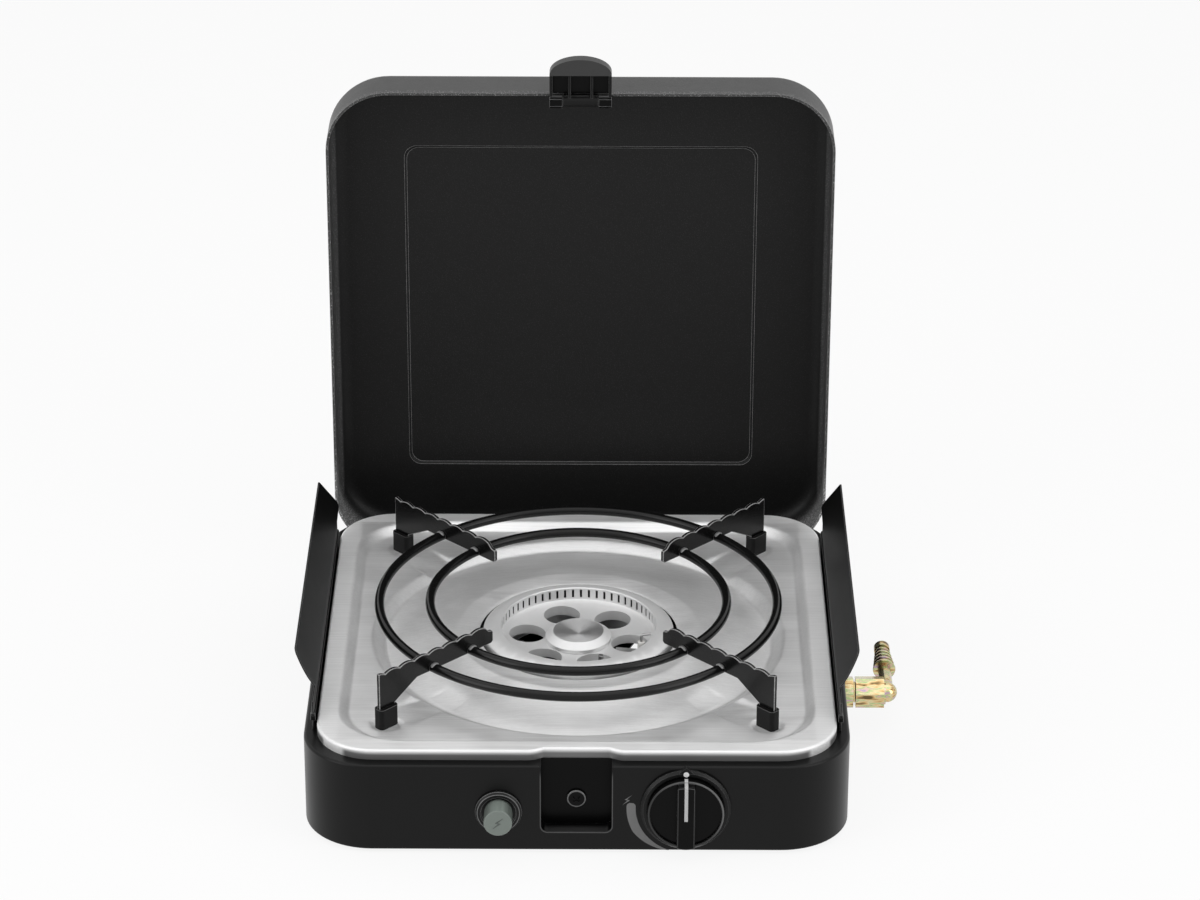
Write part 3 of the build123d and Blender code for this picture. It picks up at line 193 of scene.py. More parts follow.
# %% bench
class Finish:
    """One material being made: its tree, its Principled shader and the point being coloured."""

    def __init__(self, name):
        self.material = bpy.data.materials.new(name)
        self.material.use_nodes = True
        self.tree = self.material.node_tree
        self.shader = self.tree.nodes["Principled BSDF"]
        self.place = self.node("ShaderNodeTexCoord", output=3)

    def node(self, kind, settings=None, sockets=None, output=0):
        return make_node(self.tree, kind, settings, sockets, output)

    def axes(self):
        """The point's x, y and z as three wires."""
        split = self.node("ShaderNodeSeparateXYZ", None, {0: self.place}).socket.node
        return [Wire(socket) for socket in split.outputs]

    def noise(self, size_mm, detail=3.0, rough=0.55, stretch=(1, 1, 1)):
        """Noise whose blobs are about size_mm across, drawn out along an axis by stretch."""
        scale = [1 / (size_mm * MM * s) for s in stretch]
        spread = self.node("ShaderNodeMapping", None, {"Vector": self.place, "Scale": scale})
        sockets = {"Vector": spread, "Scale": 1.0, "Detail": detail, "Roughness": rough}
        return self.node("ShaderNodeTexNoise", None, sockets)

    def pebbles(self, size_mm):
        """Rounded grains about size_mm across, as in a textured coat."""
        scale = [1 / (size_mm * MM)] * 3
        spread = self.node("ShaderNodeMapping", None, {"Vector": self.place, "Scale": scale})
        sockets = {"Vector": spread, "Scale": 1.0, "Smoothness": 0.6}
        return 1 - self.node("ShaderNodeTexVoronoi", {"feature": "SMOOTH_F1"}, sockets)

    def blend(self, factor, first, second):
        """A colour between two colours."""
        sockets = {0: factor, 6: rgba(first), 7: rgba(second)}
        return self.node("ShaderNodeMix", {"data_type": "RGBA"}, sockets, output=2)

    def bump(self, height, depth_mm):
        """Relief of the given depth, fed to the shader's normal."""
        sockets = {"Height": height, "Distance": depth_mm * MM, "Strength": 1.0}
        self.set("Normal", self.node("ShaderNodeBump", None, sockets))

    def set(self, name, value):
        """Sets or wires one socket of the shader."""
        if isinstance(value, Wire):
            self.tree.links.new(value.socket, self.shader.inputs[name])
        else:
            self.shader.inputs[name].default_value = value


def rgba(colour):
    """A colour as a socket wants it, and a wire as it is."""
    if isinstance(colour, Wire):
        return colour
    return (*colour, 1.0)


def grey(level):
    """A grey of this brightness."""
    return (level, level, level)


finishes = {}
print("bench ready")

# %% [markdown]
# ## Powder coat
# The housing, the windshields and the lid are pressed steel under black powder coat. The housing's
# coat flows out smooth, with only a faint orange peel. The lid's coat is textured, and painted glints
# on its grains stand in for the light they catch. Both are dark but not pure black, so that the rounded edges
# still show.
#
# The coat is not the same all over, so masks mark the places that differ. On the housing they find
# the latch recess: a painted highlight on its mouth, painted light on its sill, and shade inside it
# from a partly metallic coat. On the lid they find the walls, the rolled hem and the crown, painted
# paler as light, and the lower corners, with a painted glint on every grain. Both outlines are
# rounded rectangles, so a point's distance from them is its distance from a corner's centre, less the corner's
# radius.


# %% smooth powder coat
FRONT_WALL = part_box("base_housing")[0].y / MM
RECESS_HALF, RECESS_SILL, RECESS_CORNER = 20.6, 14.9, 4.0
RECESS_TOP, RECESS_BLEND = 50.0, 6.0


def powder_coat(name, level, rough, gloss):
    """A smooth coat with a faint orange peel. It gives back the bench and the coat's colour."""
    coat = Finish(name)
    drift = coat.noise(38, detail=2)
    peel = coat.noise(0.5, detail=2)
    ground = coat.blend(drift, grey(level * 0.85), grey(level * 1.15))
    coat.set("Base Color", ground)
    coat.set("Roughness", rough + (drift - 0.5) * 0.06 + (peel - 0.5) * 0.08)
    coat.bump(peel, 0.012)
    coat.set("Specular IOR Level", gloss)
    finishes[name] = coat.material
    return coat, ground


def paint_recess_light_and_shade(coat, ground):
    """Paints a highlight round the mouth of the latch recess and paler light on its sill, and darkens its inside
    as shade by making the coat partly metallic.
    """
    x, y, z = coat.axes()
    out = (x.absolute() - (RECESS_HALF - RECESS_CORNER) * MM).most(0.0)
    down = ((RECESS_SILL + RECESS_CORNER) * MM - z).most(0.0)
    outside = reach_from(out, down) - RECESS_CORNER * MM
    # Painted highlight: a pale line round the recess's rounded mouth.
    mouth = outside.band((-0.1, 0.05), (0.45, 0.75)) * (1 - y.past(FRONT_WALL + 0.6, FRONT_WALL + 1))
    mouth = mouth * (1 - z.past(RECESS_TOP, RECESS_TOP + RECESS_BLEND))
    inside = (1 - outside.past(-0.1, 0.1)) * y.past(FRONT_WALL + 0.5, FRONT_WALL + 1.2)
    # Painted light: the sill just inside the recess is painted paler.
    sill = inside * (1 - z.past(RECESS_SILL + 0.2, RECESS_SILL + 0.7))
    sill = sill * (1 - y.past(FRONT_WALL + 3.5, FRONT_WALL + 9))
    coat.set("Base Color", coat.blend(mouth.most(sill * 0.9), ground, grey(0.08)))
    # Shade inside the recess: the coat turns partly metallic there, which makes it darker.
    coat.set("Metallic", inside * 0.55 * (1 - sill))


paint_recess_light_and_shade(*powder_coat("base_paint", 0.0015, 0.34, 0.19))
powder_coat("shield_paint", 0.003, 0.42, 0.10)
print("front wall at", round(FRONT_WALL, 2), "mm")

# %% textured powder coat
LID_LOW, LID_HIGH = (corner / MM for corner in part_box("lid_shell"))
LID_HALF, LID_CORNER = LID_HIGH.x, 41.0
LID_MOUTH, LID_HEM = LID_LOW.y, 4.5
GRAIN, CLOUD = 0.9, 9


def lower_corners(x, y, z):
    """A mask on the lid's two lower corners, which the open lid holds behind the tray."""
    beside = x.absolute()
    corner = (beside - z).past(56, 84) * (1 - y.past(LID_MOUTH + 15, LID_MOUTH + 33))
    out = (beside - (LID_HALF - LID_CORNER) * MM).most(0.0)
    down = ((LID_LOW.z + LID_CORNER) * MM - z).most(0.0)
    outside = reach_from(out, down) - LID_CORNER * MM
    return corner * outside.past(-7, -5)


def textured_coat(name, level, bright, wall_start):
    """A pebbled coat, painted paler as light on the walls, the hem and the crown, with painted glints on its
    grains there and on the lower corners.
    """
    coat = Finish(name)
    x, y, z = coat.axes()
    pebbles = coat.pebbles(GRAIN)
    cloud = coat.noise(CLOUD, detail=2)
    painted_glint = (pebbles + cloud * 0.08).step(0.70, 0.94)
    walls = x.absolute().past(wall_start, wall_start + 1.5)
    outer = x.absolute().past(LID_HALF - 0.6, LID_HALF - 0.3)
    hem = y.band((LID_MOUTH - 0.3, LID_MOUTH - 0.1), (LID_MOUTH + LID_HEM - 0.3, LID_MOUTH + LID_HEM + 0.3))
    crown = z.past(LID_HIGH.z - 32, LID_HIGH.z - 0.2) * (1 - y.past(LID_HIGH.y - 4.6, LID_HIGH.y - 2.6))
    # Painted light: the walls, the hem and the crown are painted five times paler than the rest.
    ground = coat.blend(walls.most(hem).most(crown), grey(level), grey(level * 5))
    # Painted glints on single grains, most of them on the walls and the hem.
    share = painted_glint * (walls * (0.35 - outer * 0.25) + hem * 0.75 + 0.03)
    coated = coat.blend(share, ground, grey(bright))
    # Painted glints on every grain of the lower corners.
    painted_glitter = coat.blend(pebbles.step(0.5, 0.95), grey(bright * 0.4), grey(min(bright * 2, 0.9)))
    coat.set("Base Color", coat.blend(lower_corners(x, y, z), coated, painted_glitter))
    coat.set("Roughness", 0.40 + (cloud - 0.5) * 0.1 - painted_glint * 0.08)
    coat.bump(pebbles * 0.8 + coat.noise(0.4, detail=1) * 0.2, 0.07)
    coat.set("Specular IOR Level", 0.14)
    finishes[name] = coat.material


textured_coat("lid_paint", 0.0115, 0.42, 153.5)
print("lid coat for a lid of", round(2 * LID_HALF), "mm")

# %% painted edge highlights
def painted_edge_highlight(name, level, rough, fleck=0.0):
    """A painted highlight: a paler line along a rounded edge."""
    edge = Finish(name)
    tone_drift = edge.noise(6, detail=3)
    grain = edge.noise(0.7, detail=1).step(0.45, 0.65)
    tone = tone_drift * 0.7 + grain * fleck
    edge.set("Base Color", edge.blend(tone, grey(level * 0.6), grey(level * 1.5)))
    edge.set("Roughness", rough + (tone_drift - 0.5) * 0.1)
    edge.bump(edge.noise(0.5, detail=2), 0.01)
    edge.set("Specular IOR Level", 0.5)
    finishes[name] = edge.material


# Painted highlights for the rounds of the housing and of the lid.
painted_edge_highlight("base_edge", 0.085, 0.30)
painted_edge_highlight("lid_edge", 0.230, 0.32, fleck=0.7)
print("powder coats and edges:", sorted(finishes))

# %% [markdown]
# ## Stainless steel of the drip tray
# The tray is pressed from brushed sheet: hair-thin lines run from side to side, and they spread
# every reflection upwards and downwards. Two noises stretched along X make the lines, one fine and
# one coarser. They change the roughness and a very shallow relief. A slow cloud adds the faint
# smears that handling leaves. The skirt that hangs down from the border is painted dark as shade,
# the sheet is painted darker towards the front as shade, and the border is a little duller than the pan.


# %% tray steel
SKIRT_REACH, SKIRT_TOP, BORDER_REACH = 146.5, 64.3, 138.0


def brushed_steel(name, level, rough):
    """Sheet steel with brushed lines along X, with painted shade towards the front and under its border."""
    steel = Finish(name)
    hair = steel.noise(0.22, detail=2, stretch=(120, 1, 1))
    streak = steel.noise(1.3, detail=3, stretch=(60, 1, 1))
    smear = steel.noise(26, detail=4)
    tone = hair * 0.4 + streak * 0.4 + smear * 0.2
    x, y, z = steel.axes()
    reach = x.absolute().most(y.absolute())
    # Painted shade: the skirt under the border is painted dark, and the whole sheet darker towards the front.
    skirt = reach.past(SKIRT_REACH, SKIRT_REACH + 2) * (1 - z.past(SKIRT_TOP - 2.9, SKIRT_TOP))
    border = reach.past(BORDER_REACH, BORDER_REACH + 3)
    shade = tone.step(0.3, 0.7) * 0.45 + y.past(-165, 110) * 0.55
    bright = steel.blend(shade, grey(level * 0.80), grey(level * 1.14))
    steel.set("Base Color", steel.blend(skirt * 0.9, bright, grey(level * 0.12)))
    steel.set("Metallic", 0.72)
    steel.set("Roughness", rough + border * 0.1 + (streak - 0.5) * 0.26 + (smear - 0.5) * 0.16)
    steel.bump(hair * 0.65 + streak * 0.35, 0.035)
    finishes[name] = steel.material


brushed_steel("tray_steel", 0.84, 0.50)
print("tray steel ready")

# %% [markdown]
# ## Enamel, castings and turned metal
# The pan support is welded from wire and sheet and dipped in black enamel, which pulls into a
# slightly lumpy gloss. The burner is cast aluminium, blasted to a bright even grain, and its flame
# slots are painted black as shade. Its hub is turned, so its tool marks are circles about the burner's axis.


# %% enamel
def enamel(name, level):
    """Black enamel that has pulled into soft lumps."""
    coat = Finish(name)
    lumps = coat.noise(4.5, detail=3)
    specks = coat.noise(0.6, detail=2).step(0.64, 0.72)
    coat.set("Base Color", coat.blend(lumps, grey(level * 0.8), grey(level * 1.3)))
    coat.set("Roughness", 0.20 + (lumps - 0.5) * 0.1 + specks * 0.15)
    coat.bump(lumps * 0.8 + coat.noise(0.9, detail=2) * 0.2, 0.045)
    coat.set("Specular IOR Level", 0.22)
    finishes[name] = coat.material


enamel("enamel", 0.0048)
painted_edge_highlight("enamel_edge", 0.230, 0.28, fleck=0.5)
print("enamel ready")

# %% casting
SLOTS_IN, SLOTS_OUT = 47.3, 57.0
SLOTS_SLOPE, SLOTS_TOP = 0.415, 85.4


def casting(name, level, rough, grain_mm, depth_mm):
    """Blasted aluminium, painted black as shade between the flame slots' inner and outer reach."""
    cast = Finish(name)
    grain = cast.noise(grain_mm, detail=3)
    cloud = cast.noise(14, detail=3)
    x, y, z = cast.axes()
    reach = reach_from(x, y)
    # Painted shade: the flame slots are painted black inside.
    painted_slot_shade = reach.band((SLOTS_IN, SLOTS_IN + 0.5), (SLOTS_OUT - 0.4, SLOTS_OUT))
    painted_slot_shade = painted_slot_shade * (1 - (z + reach * SLOTS_SLOPE).past(SLOTS_TOP, SLOTS_TOP + 0.3))
    clean = cast.blend(cloud * 0.6 + grain * 0.4, grey(level * 0.92), grey(level * 1.06))
    cast.set("Base Color", cast.blend(painted_slot_shade, clean, grey(0.012)))
    cast.set("Metallic", 0.4 - painted_slot_shade * 0.4)
    cast.set("Roughness", rough + (cloud - 0.5) * 0.08 + (grain - 0.5) * 0.1)
    cast.bump(grain, depth_mm)
    finishes[name] = cast.material


casting("burner_casting", 0.76, 0.46, 0.35, 0.02)
print("soot from", SLOTS_IN, "to", SLOTS_OUT, "mm from the burner's axis")

# %% turned face
TOOL_MARK, HUB_FACE = 0.42, 15.1


def turning(name, level, rough):
    """Turned metal: fine rings on the hub's face, and a plain edge round it."""
    turned = Finish(name)
    x, y, _ = turned.axes()
    reach = reach_from(x, y)
    face = 1 - reach.past(HUB_FACE, HUB_FACE + 0.5)
    groove = (reach * (2 * math.pi / (TOOL_MARK * MM))).sine()
    blotch = turned.noise(6, detail=2)
    turned.set("Base Color", turned.blend(blotch, grey(level * 0.95), grey(level * 1.05)))
    turned.set("Metallic", 0.45 + face * 0.4)
    turned.set("Roughness", rough - face * 0.16 + (blotch - 0.5) * 0.06)
    turned.bump(groove * face * 0.5, 0.07)
    finishes[name] = turned.material


turning("hub_turning", 0.74, 0.46)
print("turned face out to", HUB_FACE, "mm, with a ring every", TOOL_MARK, "mm")

# %% [markdown]
# ## Plastics and rubber
# Mouldings have a fine spark-eroded grain and a soft gloss. The rubber boots are duller and a little
# greyer where they rub. Three mouldings have painted light of their own. The knob has a painted
# highlight round its disc and round its bar. The latch has a painted highlight on its domed tip and
# painted shade in its hollow. The button is a grey green, with painted highlight streaks along the side that
# slides in its sleeve, and painted shade towards that side's edges.


# %% plain moulding
def moulding(name, colour, rough, grain_mm=0.22, depth_mm=0.008, tone_drift=0.15, gloss=0.5):
    """A plain moulding with a fine grain, slightly uneven in colour."""
    plastic = Finish(name)
    grain = plastic.noise(grain_mm, detail=2)
    cloud = plastic.noise(9, detail=3)
    dark = [c * (1 - tone_drift) for c in colour]
    light = [c * (1 + tone_drift) for c in colour]
    plastic.set("Base Color", plastic.blend(cloud, dark, light))
    plastic.set("Roughness", rough + (cloud - 0.5) * 0.08 + (grain - 0.5) * 0.08)
    plastic.bump(grain, depth_mm)
    plastic.set("Specular IOR Level", gloss)
    finishes[name] = plastic.material


moulding("trim_plastic", grey(0.006), 0.34, gloss=0.18)
moulding("rubber", grey(0.0045), 0.42, grain_mm=0.4, depth_mm=0.02, tone_drift=0.3, gloss=0.12)
moulding("lead_sleeve", grey(0.03), 0.55)
moulding("ceramic", (0.84, 0.83, 0.80), 0.22, grain_mm=0.5, depth_mm=0.004, tone_drift=0.03)
moulding("mark_grey", grey(0.150), 0.5, tone_drift=0.06)
moulding("mark_pale", grey(0.48), 0.45, tone_drift=0.03)
moulding("mark_white", grey(0.80), 0.45, tone_drift=0.03)
moulding("button_mark", (0.085, 0.100, 0.090), 0.42, gloss=0.4)
painted_edge_highlight("plastic_edge", 0.150, 0.26)
print("plain mouldings ready")

# %% knob
turn_joint = next(joint for joint in frame["joints"] if joint["name"] == "knob_turn")
KNOB_X, _, KNOB_Z = (place / MM for place in turn_joint["pos_m"])
RIM_IN, RIM_OUT, RIM_FRONT = 20.9, 22.5, -168.2
BAR_HALF, BAR_REACH, BAR_FRONT = 4.4, 20.0, -172.4


def knob_moulding(name, level, rim_level):
    """Gloss black, with a painted highlight round the rim of the knob's disc and round its bar."""
    plastic = Finish(name)
    x, y, z = plastic.axes()
    aside, above = x - KNOB_X * MM, z - KNOB_Z * MM
    reach = reach_from(aside, above)
    rim = reach.band((RIM_IN, RIM_IN + 0.4), (RIM_OUT - 0.4, RIM_OUT))
    rim = rim * y.band((RIM_FRONT, RIM_FRONT + 0.2), (RIM_FRONT + 0.8, RIM_FRONT + 1))
    # Painted highlight round the disc's rim, stronger towards the upper right, and round the bar.
    glint = (aside + above).past(-12, 30) * 0.7 + 0.3
    outline = aside.absolute().past(BAR_HALF, BAR_HALF + 0.3).most(reach.past(BAR_REACH, BAR_REACH + 0.3))
    outline = outline * (1 - y.past(BAR_FRONT, BAR_FRONT + 0.2))
    highlight_lines = (rim * glint).most(outline * 0.5)
    plastic.set("Base Color", plastic.blend(highlight_lines, grey(level), grey(rim_level)))
    plastic.set("Roughness", 0.24 + (plastic.noise(9, detail=3) - 0.5) * 0.08)
    plastic.bump(plastic.noise(0.22, detail=2), 0.008)
    plastic.set("Specular IOR Level", 0.09)
    finishes[name] = plastic.material


knob_moulding("knob_plastic", 0.002, 0.150)
print("knob's axis at", round(KNOB_X, 1), round(KNOB_Z, 1), "mm")

# %% latch
DOME_START, HOLLOW_START, HOLLOW_DEPTH = 364.0, 350.0, 154.6


def latch_moulding(name, level, dome_level):
    """A dull moulding, with a painted highlight on its domed tip and painted shade in its hollow."""
    plastic = Finish(name)
    _, y, z = plastic.axes()
    # Painted highlight on the domed tip, and painted shade in the hollow.
    dome = z.past(DOME_START, DOME_START + 0.8)
    hollow = y.past(HOLLOW_DEPTH, HOLLOW_DEPTH + 0.8) * z.past(HOLLOW_START, HOLLOW_START + 1)
    shade = plastic.blend(dome, grey(level), grey(dome_level))
    plastic.set("Base Color", plastic.blend(hollow * (1 - dome), shade, grey(level * 0.15)))
    plastic.set("Roughness", 0.36 + (plastic.noise(7, detail=3) - 0.5) * 0.1)
    plastic.bump(plastic.noise(0.25, detail=2), 0.01)
    plastic.set("Specular IOR Level", 0.1)
    finishes[name] = plastic.material


latch_moulding("latch_plastic", 0.010, 0.050)
print("latch's dome from", DOME_START, "mm up")

# %% button
BUTTON_X, BUTTON_Z, BUTTON_FRONT = -45.2, 29.0, -174.5


def button_moulding(name, colour, rough):
    """A grey green moulding, whose side has painted highlight streaks along its travel and painted shade towards
    its edges.
    """
    plastic = Finish(name)
    x, y, _ = plastic.axes()
    side = y.past(BUTTON_FRONT + 0.3, BUTTON_FRONT + 0.7)
    highlight_lines = plastic.noise(0.9, detail=2, stretch=(1, 30, 30))
    # Painted highlight streaks along the side, and painted shade where the side turns away.
    shade = side * (x - BUTTON_X * MM).absolute().past(2, 7.5)
    body = plastic.blend(side * highlight_lines, colour, [c * 1.5 for c in colour])
    plastic.set("Base Color", plastic.blend(shade * 0.7, body, [c * 0.35 for c in colour]))
    plastic.set("Roughness", rough + (highlight_lines - 0.5) * 0.1)
    plastic.bump(highlight_lines, 0.01)
    plastic.set("Specular IOR Level", 0.4)
    finishes[name] = plastic.material


button_moulding("button_plastic", (0.175, 0.202, 0.183), 0.34)
painted_edge_highlight("button_edge", 0.34, 0.36)
print("button's centre at", BUTTON_X, BUTTON_Z, "mm")

# %% [markdown]
# ## Plated and plain metals
# The gas fitting is plated and passivated, which leaves a thin film that shifts from straw yellow to
# green and pink. A slow noise picks the tint through a colour ramp, and the grooves between the
# hose barbs are painted dark as shade. The screw in the recess is black, with a painted highlight in a
# ring round its head. The rest are plain metals.


# %% plain metals
def plain_metal(name, colour, rough):
    """A metal with a fine grain, slightly uneven in colour."""
    metal = Finish(name)
    grain = metal.noise(0.4, detail=2)
    cloud = metal.noise(7, detail=3)
    dark = [c * 0.88 for c in colour]
    light = [min(c * 1.1, 1) for c in colour]
    metal.set("Base Color", metal.blend(cloud, dark, light))
    metal.set("Metallic", 1.0)
    metal.set("Roughness", rough + (cloud - 0.5) * 0.12 + (grain - 0.5) * 0.06)
    metal.bump(grain, 0.008)
    finishes[name] = metal.material


plain_metal("brass", (0.70, 0.56, 0.28), 0.3)
plain_metal("pipe", grey(0.70), 0.28)
plain_metal("bare_steel", grey(0.40), 0.34)
plain_metal("black_steel", grey(0.03), 0.36)
print("plain metals ready")

# %% passivated fitting
BARB_START, BARB_PITCH = 18.0, 4.8
FILM_TINTS = [
    (0.33, (0.13, 0.09, 0.04)),
    (0.41, (0.60, 0.40, 0.18)),
    (0.48, (0.66, 0.57, 0.34)),
    (0.54, (0.34, 0.46, 0.21)),
    (0.60, (0.64, 0.42, 0.36)),
    (0.67, (0.42, 0.34, 0.42)),
]


def passivated(name):
    """Plated metal under a tinted film, with painted shade in the grooves between the barbs."""
    metal = Finish(name)
    film = metal.noise(3.6, detail=2, rough=0.6, stretch=(4.0, 1.0, 0.8))
    grain = metal.noise(0.35, detail=2)
    colour = metal.node("ShaderNodeValToRGB", {"stops": FILM_TINTS}, {0: film})
    y = metal.axes()[1]
    tooth = ((y - BARB_START * MM) / (BARB_PITCH * MM)).fraction()
    # Painted shade in the grooves between the barbs.
    groove = tooth.step(0.5, 0.95) * y.past(BARB_START, BARB_START + 0.1)
    metal.set("Base Color", metal.blend(groove * 0.75, colour, (0.10, 0.07, 0.03)))
    metal.set("Metallic", 1.0)
    metal.set("Roughness", 0.25 + (grain - 0.5) * 0.1)
    metal.bump(grain, 0.006)
    finishes[name] = metal.material


passivated("fitting")
print("tints of the film:", len(FILM_TINTS))

# %% black screw with a painted ring highlight
SCREW_LOW, SCREW_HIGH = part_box("recess_screw")
SCREW_Z = (SCREW_LOW.z + SCREW_HIGH.z) / 2 / MM
SCREW_RING_IN, SCREW_RING_OUT = 4.6, 5.7


def black_screw(name, level):
    """Black steel, with a painted highlight in a ring round the head's edge."""
    metal = Finish(name)
    x, _, z = metal.axes()
    reach = reach_from(x, z - SCREW_Z * MM)
    # Painted highlight: a paler ring round the head's edge, patchy along its length.
    ring = reach.band((SCREW_RING_IN, SCREW_RING_IN + 0.3), (SCREW_RING_OUT - 0.2, SCREW_RING_OUT))
    blotch = metal.noise(1.2, detail=2)
    metal.set("Base Color", metal.blend(ring * (blotch * 0.6 + 0.5), grey(level), grey(0.16)))
    metal.set("Metallic", 1 - ring * 0.5)
    metal.set("Roughness", 0.30 + (blotch - 0.5) * 0.1)
    finishes[name] = metal.material


black_screw("black_screw", 0.010)
print("finishes:", len(finishes))

# %% [markdown]
# ## Finishes on the solids
# The record says which material slot each node takes its finish from. The solids themselves are
# never changed: only the material in their slot is.

# %% assign finishes
slot_of = {part["node"]: part["material_slot"] for part in frame["record"]["subparts"]}
body_of = {node: body for body, nodes in frame["record"]["behaviour"]["bodies"].items() for node in nodes}
for node, solid in frame["nodes"].items():
    solid.data.materials.clear()
    solid.data.materials.append(finishes[slot_of[node]])
print("dressed", len(slot_of), "nodes")

# %% [markdown]
# ## Hands for the mesh work
# A few small helpers keep the modelling cells short. One picks objects, so that no edit reaches the
# others, and two open and close edit mode. One copies a solid as a closed skin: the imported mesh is
# loose triangles, so they are welded and the flat faces made whole. One rounds the copy's sharp
# edges, because no pressed, cast or moulded edge is truly sharp, and it is the round that catches
# the light. Its last modifier weights the normals by the size of the faces, which keeps a large flat
# wall flat next to a hole or a round. The last helper gives a piece its finish and its body.

# %% picking and editing
def pick(*pieces):
    """Selects these objects only, and makes the first one active."""
    bpy.ops.object.select_all(action="DESELECT")
    for piece in pieces:
        piece.select_set(True)
    bpy.context.view_layer.objects.active = pieces[0]


def edit(piece):
    """Opens a piece in edit mode with everything selected."""
    pick(piece)
    bpy.ops.object.mode_set(mode="EDIT")
    bpy.ops.mesh.select_all(action="SELECT")


def done(piece, name=None):
    """Closes edit mode and settles the piece's place in its mesh."""
    if bpy.context.mode != "OBJECT":
        bpy.ops.object.mode_set(mode="OBJECT")
    pick(piece)
    bpy.ops.object.transform_apply(location=True, rotation=True, scale=True)
    if name:
        piece.name = name
    return piece


def modify(piece, kind, **settings):
    """Adds a modifier and applies it."""
    pick(piece)
    modifier = piece.modifiers.new(kind.lower(), kind)
    for name, value in settings.items():
        setattr(modifier, name, value)
    bpy.ops.object.modifier_apply(modifier=modifier.name)


print("hands for editing ready")


# %% skins with rounded edges
def solid_copy(node, name):
    """A welded copy of a solid, with whole flat faces."""
    source = frame["nodes"][node]
    piece = bpy.data.objects.new(name, source.data.copy())
    bpy.context.scene.collection.objects.link(piece)
    edit(piece)
    bpy.ops.mesh.remove_doubles(threshold=0.00001)
    bpy.ops.mesh.dissolve_limited(angle_limit=math.radians(0.6))
    return done(piece)


def soften(piece, width_mm, edge, angle):
    """Rounds every edge sharper than the angle, and shades the piece smooth with flat walls flat."""
    # The round's faces take the edge material, which is a painted highlight.
    if edge:
        piece.data.materials.append(finishes[edge])
    if width_mm:
        modify(
            piece,
            "BEVEL",
            width=width_mm * MM,
            segments=2,
            limit_method="ANGLE",
            angle_limit=math.radians(angle),
            use_clamp_overlap=True,
            loop_slide=False,
            material=1 if edge else -1,
        )
    pick(piece)
    bpy.ops.object.shade_smooth_by_angle(angle=math.radians(34), keep_sharp_edges=False)
    modify(piece, "WEIGHTED_NORMAL", keep_sharp=True)


def settle(piece, slot, body, *nodes, finish=None):
    """Gives a piece its finish, its body, and the solids that it stands for."""
    if not piece.data.materials:
        piece.data.materials.append(None)
    piece.data.materials[0] = finishes[finish or slot]
    if nodes:
        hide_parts(*nodes)
    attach(piece, body)


print("hands for skins ready")

# %% [markdown]
# ## The drip tray
# One stainless sheet is pressed into a border, a stepped pan, a round dish with a raised collar, four
# draining channels and four seats for the feet. The mesh starts as a circle of the burner's hole and
# is extruded outwards ring by ring. Rings lie close together where the sheet bends. Afterwards a
# press function lifts every vertex to the height of the pressing at its place.

# %% the tray's sizes, in mm
TRAY_HALF_X, TRAY_HALF_Y, TRAY_CORNER = 152.2, 152.6, 35.0
TRAY_TOP, RIM, PAN, DISH = 64.9, 58.5, 59.7, 54.3
BORDER, STEP_RUN, PAN_CORNER = 12.0, 4.6, 39.0
EDGE_BEND, SKIRT_MIDDLE, SHEET = 1.5, 61.2, 0.8
NOTCH_HALF, NOTCH_SLANT, NOTCH_SETBACK, NOTCH_BLEND = 19.4, 6.3, 3.3, 1.2
HOLE, COLLAR, COLLAR_TOP = 60.5, 74.0, 62.6
DISH_EDGE, DISH_FOOT = 125.3, 118.3
FOOT_REACH, PAD_RADIUS, PAD_DEPTH, PAD_BEND = 158.2, 8.6, 1.2, 0.9
CHANNEL_HALF, CHANNEL_START, CHANNEL_END = 12.0, 150.0, 114.3
CHANNEL_FALL, CHANNEL_WALL, CHANNEL_RUN_OUT = 3.6, 2.6, 8.0
print("the pan lies", round(TRAY_TOP - PAN, 2), "mm under the border")


# %% outlines
def box_distance(x, y, half_x, half_y, corner):
    """How far a point lies outside a rounded rectangle; negative inside."""
    dx, dy = abs(x) - half_x + corner, abs(y) - half_y + corner
    return math.hypot(max(dx, 0), max(dy, 0)) + min(max(dx, dy), 0) - corner


def tray_distance(x, y):
    """The same for the tray's outline, with its notch in the front."""
    plate = box_distance(x, y, TRAY_HALF_X, TRAY_HALF_Y, TRAY_CORNER)
    slope = NOTCH_SETBACK / NOTCH_SLANT
    flank = (NOTCH_HALF + NOTCH_SLANT - abs(x)) * slope / math.hypot(1, slope)
    notch = min(NOTCH_SETBACK - TRAY_HALF_Y - y, flank + (-TRAY_HALF_Y - y) / math.hypot(1, slope))
    blend = max(0, NOTCH_BLEND - abs(plate - notch)) ** 2 / (4 * NOTCH_BLEND)
    return max(plate, notch) + blend


def pan_distance(x, y):
    """The same for the line where the border starts to step down."""
    return box_distance(x, y, TRAY_HALF_X - BORDER, TRAY_HALF_Y - BORDER, PAN_CORNER)


print("the notch is", round(tray_distance(0, -TRAY_HALF_Y), 2), "mm deep")


# %% the pressing
def along_polyline(points, where):
    """The height of a polyline at a place along it."""
    for (a, za), (b, zb) in zip(points, points[1:]):
        if where <= b:
            return za + (zb - za) * (where - a) / (b - a)
    return points[-1][1]


DISH_PROFILE = [
    (0, COLLAR_TOP - 2.4),
    (HOLE, COLLAR_TOP - 2.2),
    (HOLE + 1.4, COLLAR_TOP - 1.3),
    (COLLAR, COLLAR_TOP),
    (DISH_FOOT, DISH),
    (DISH_EDGE, PAN),
]


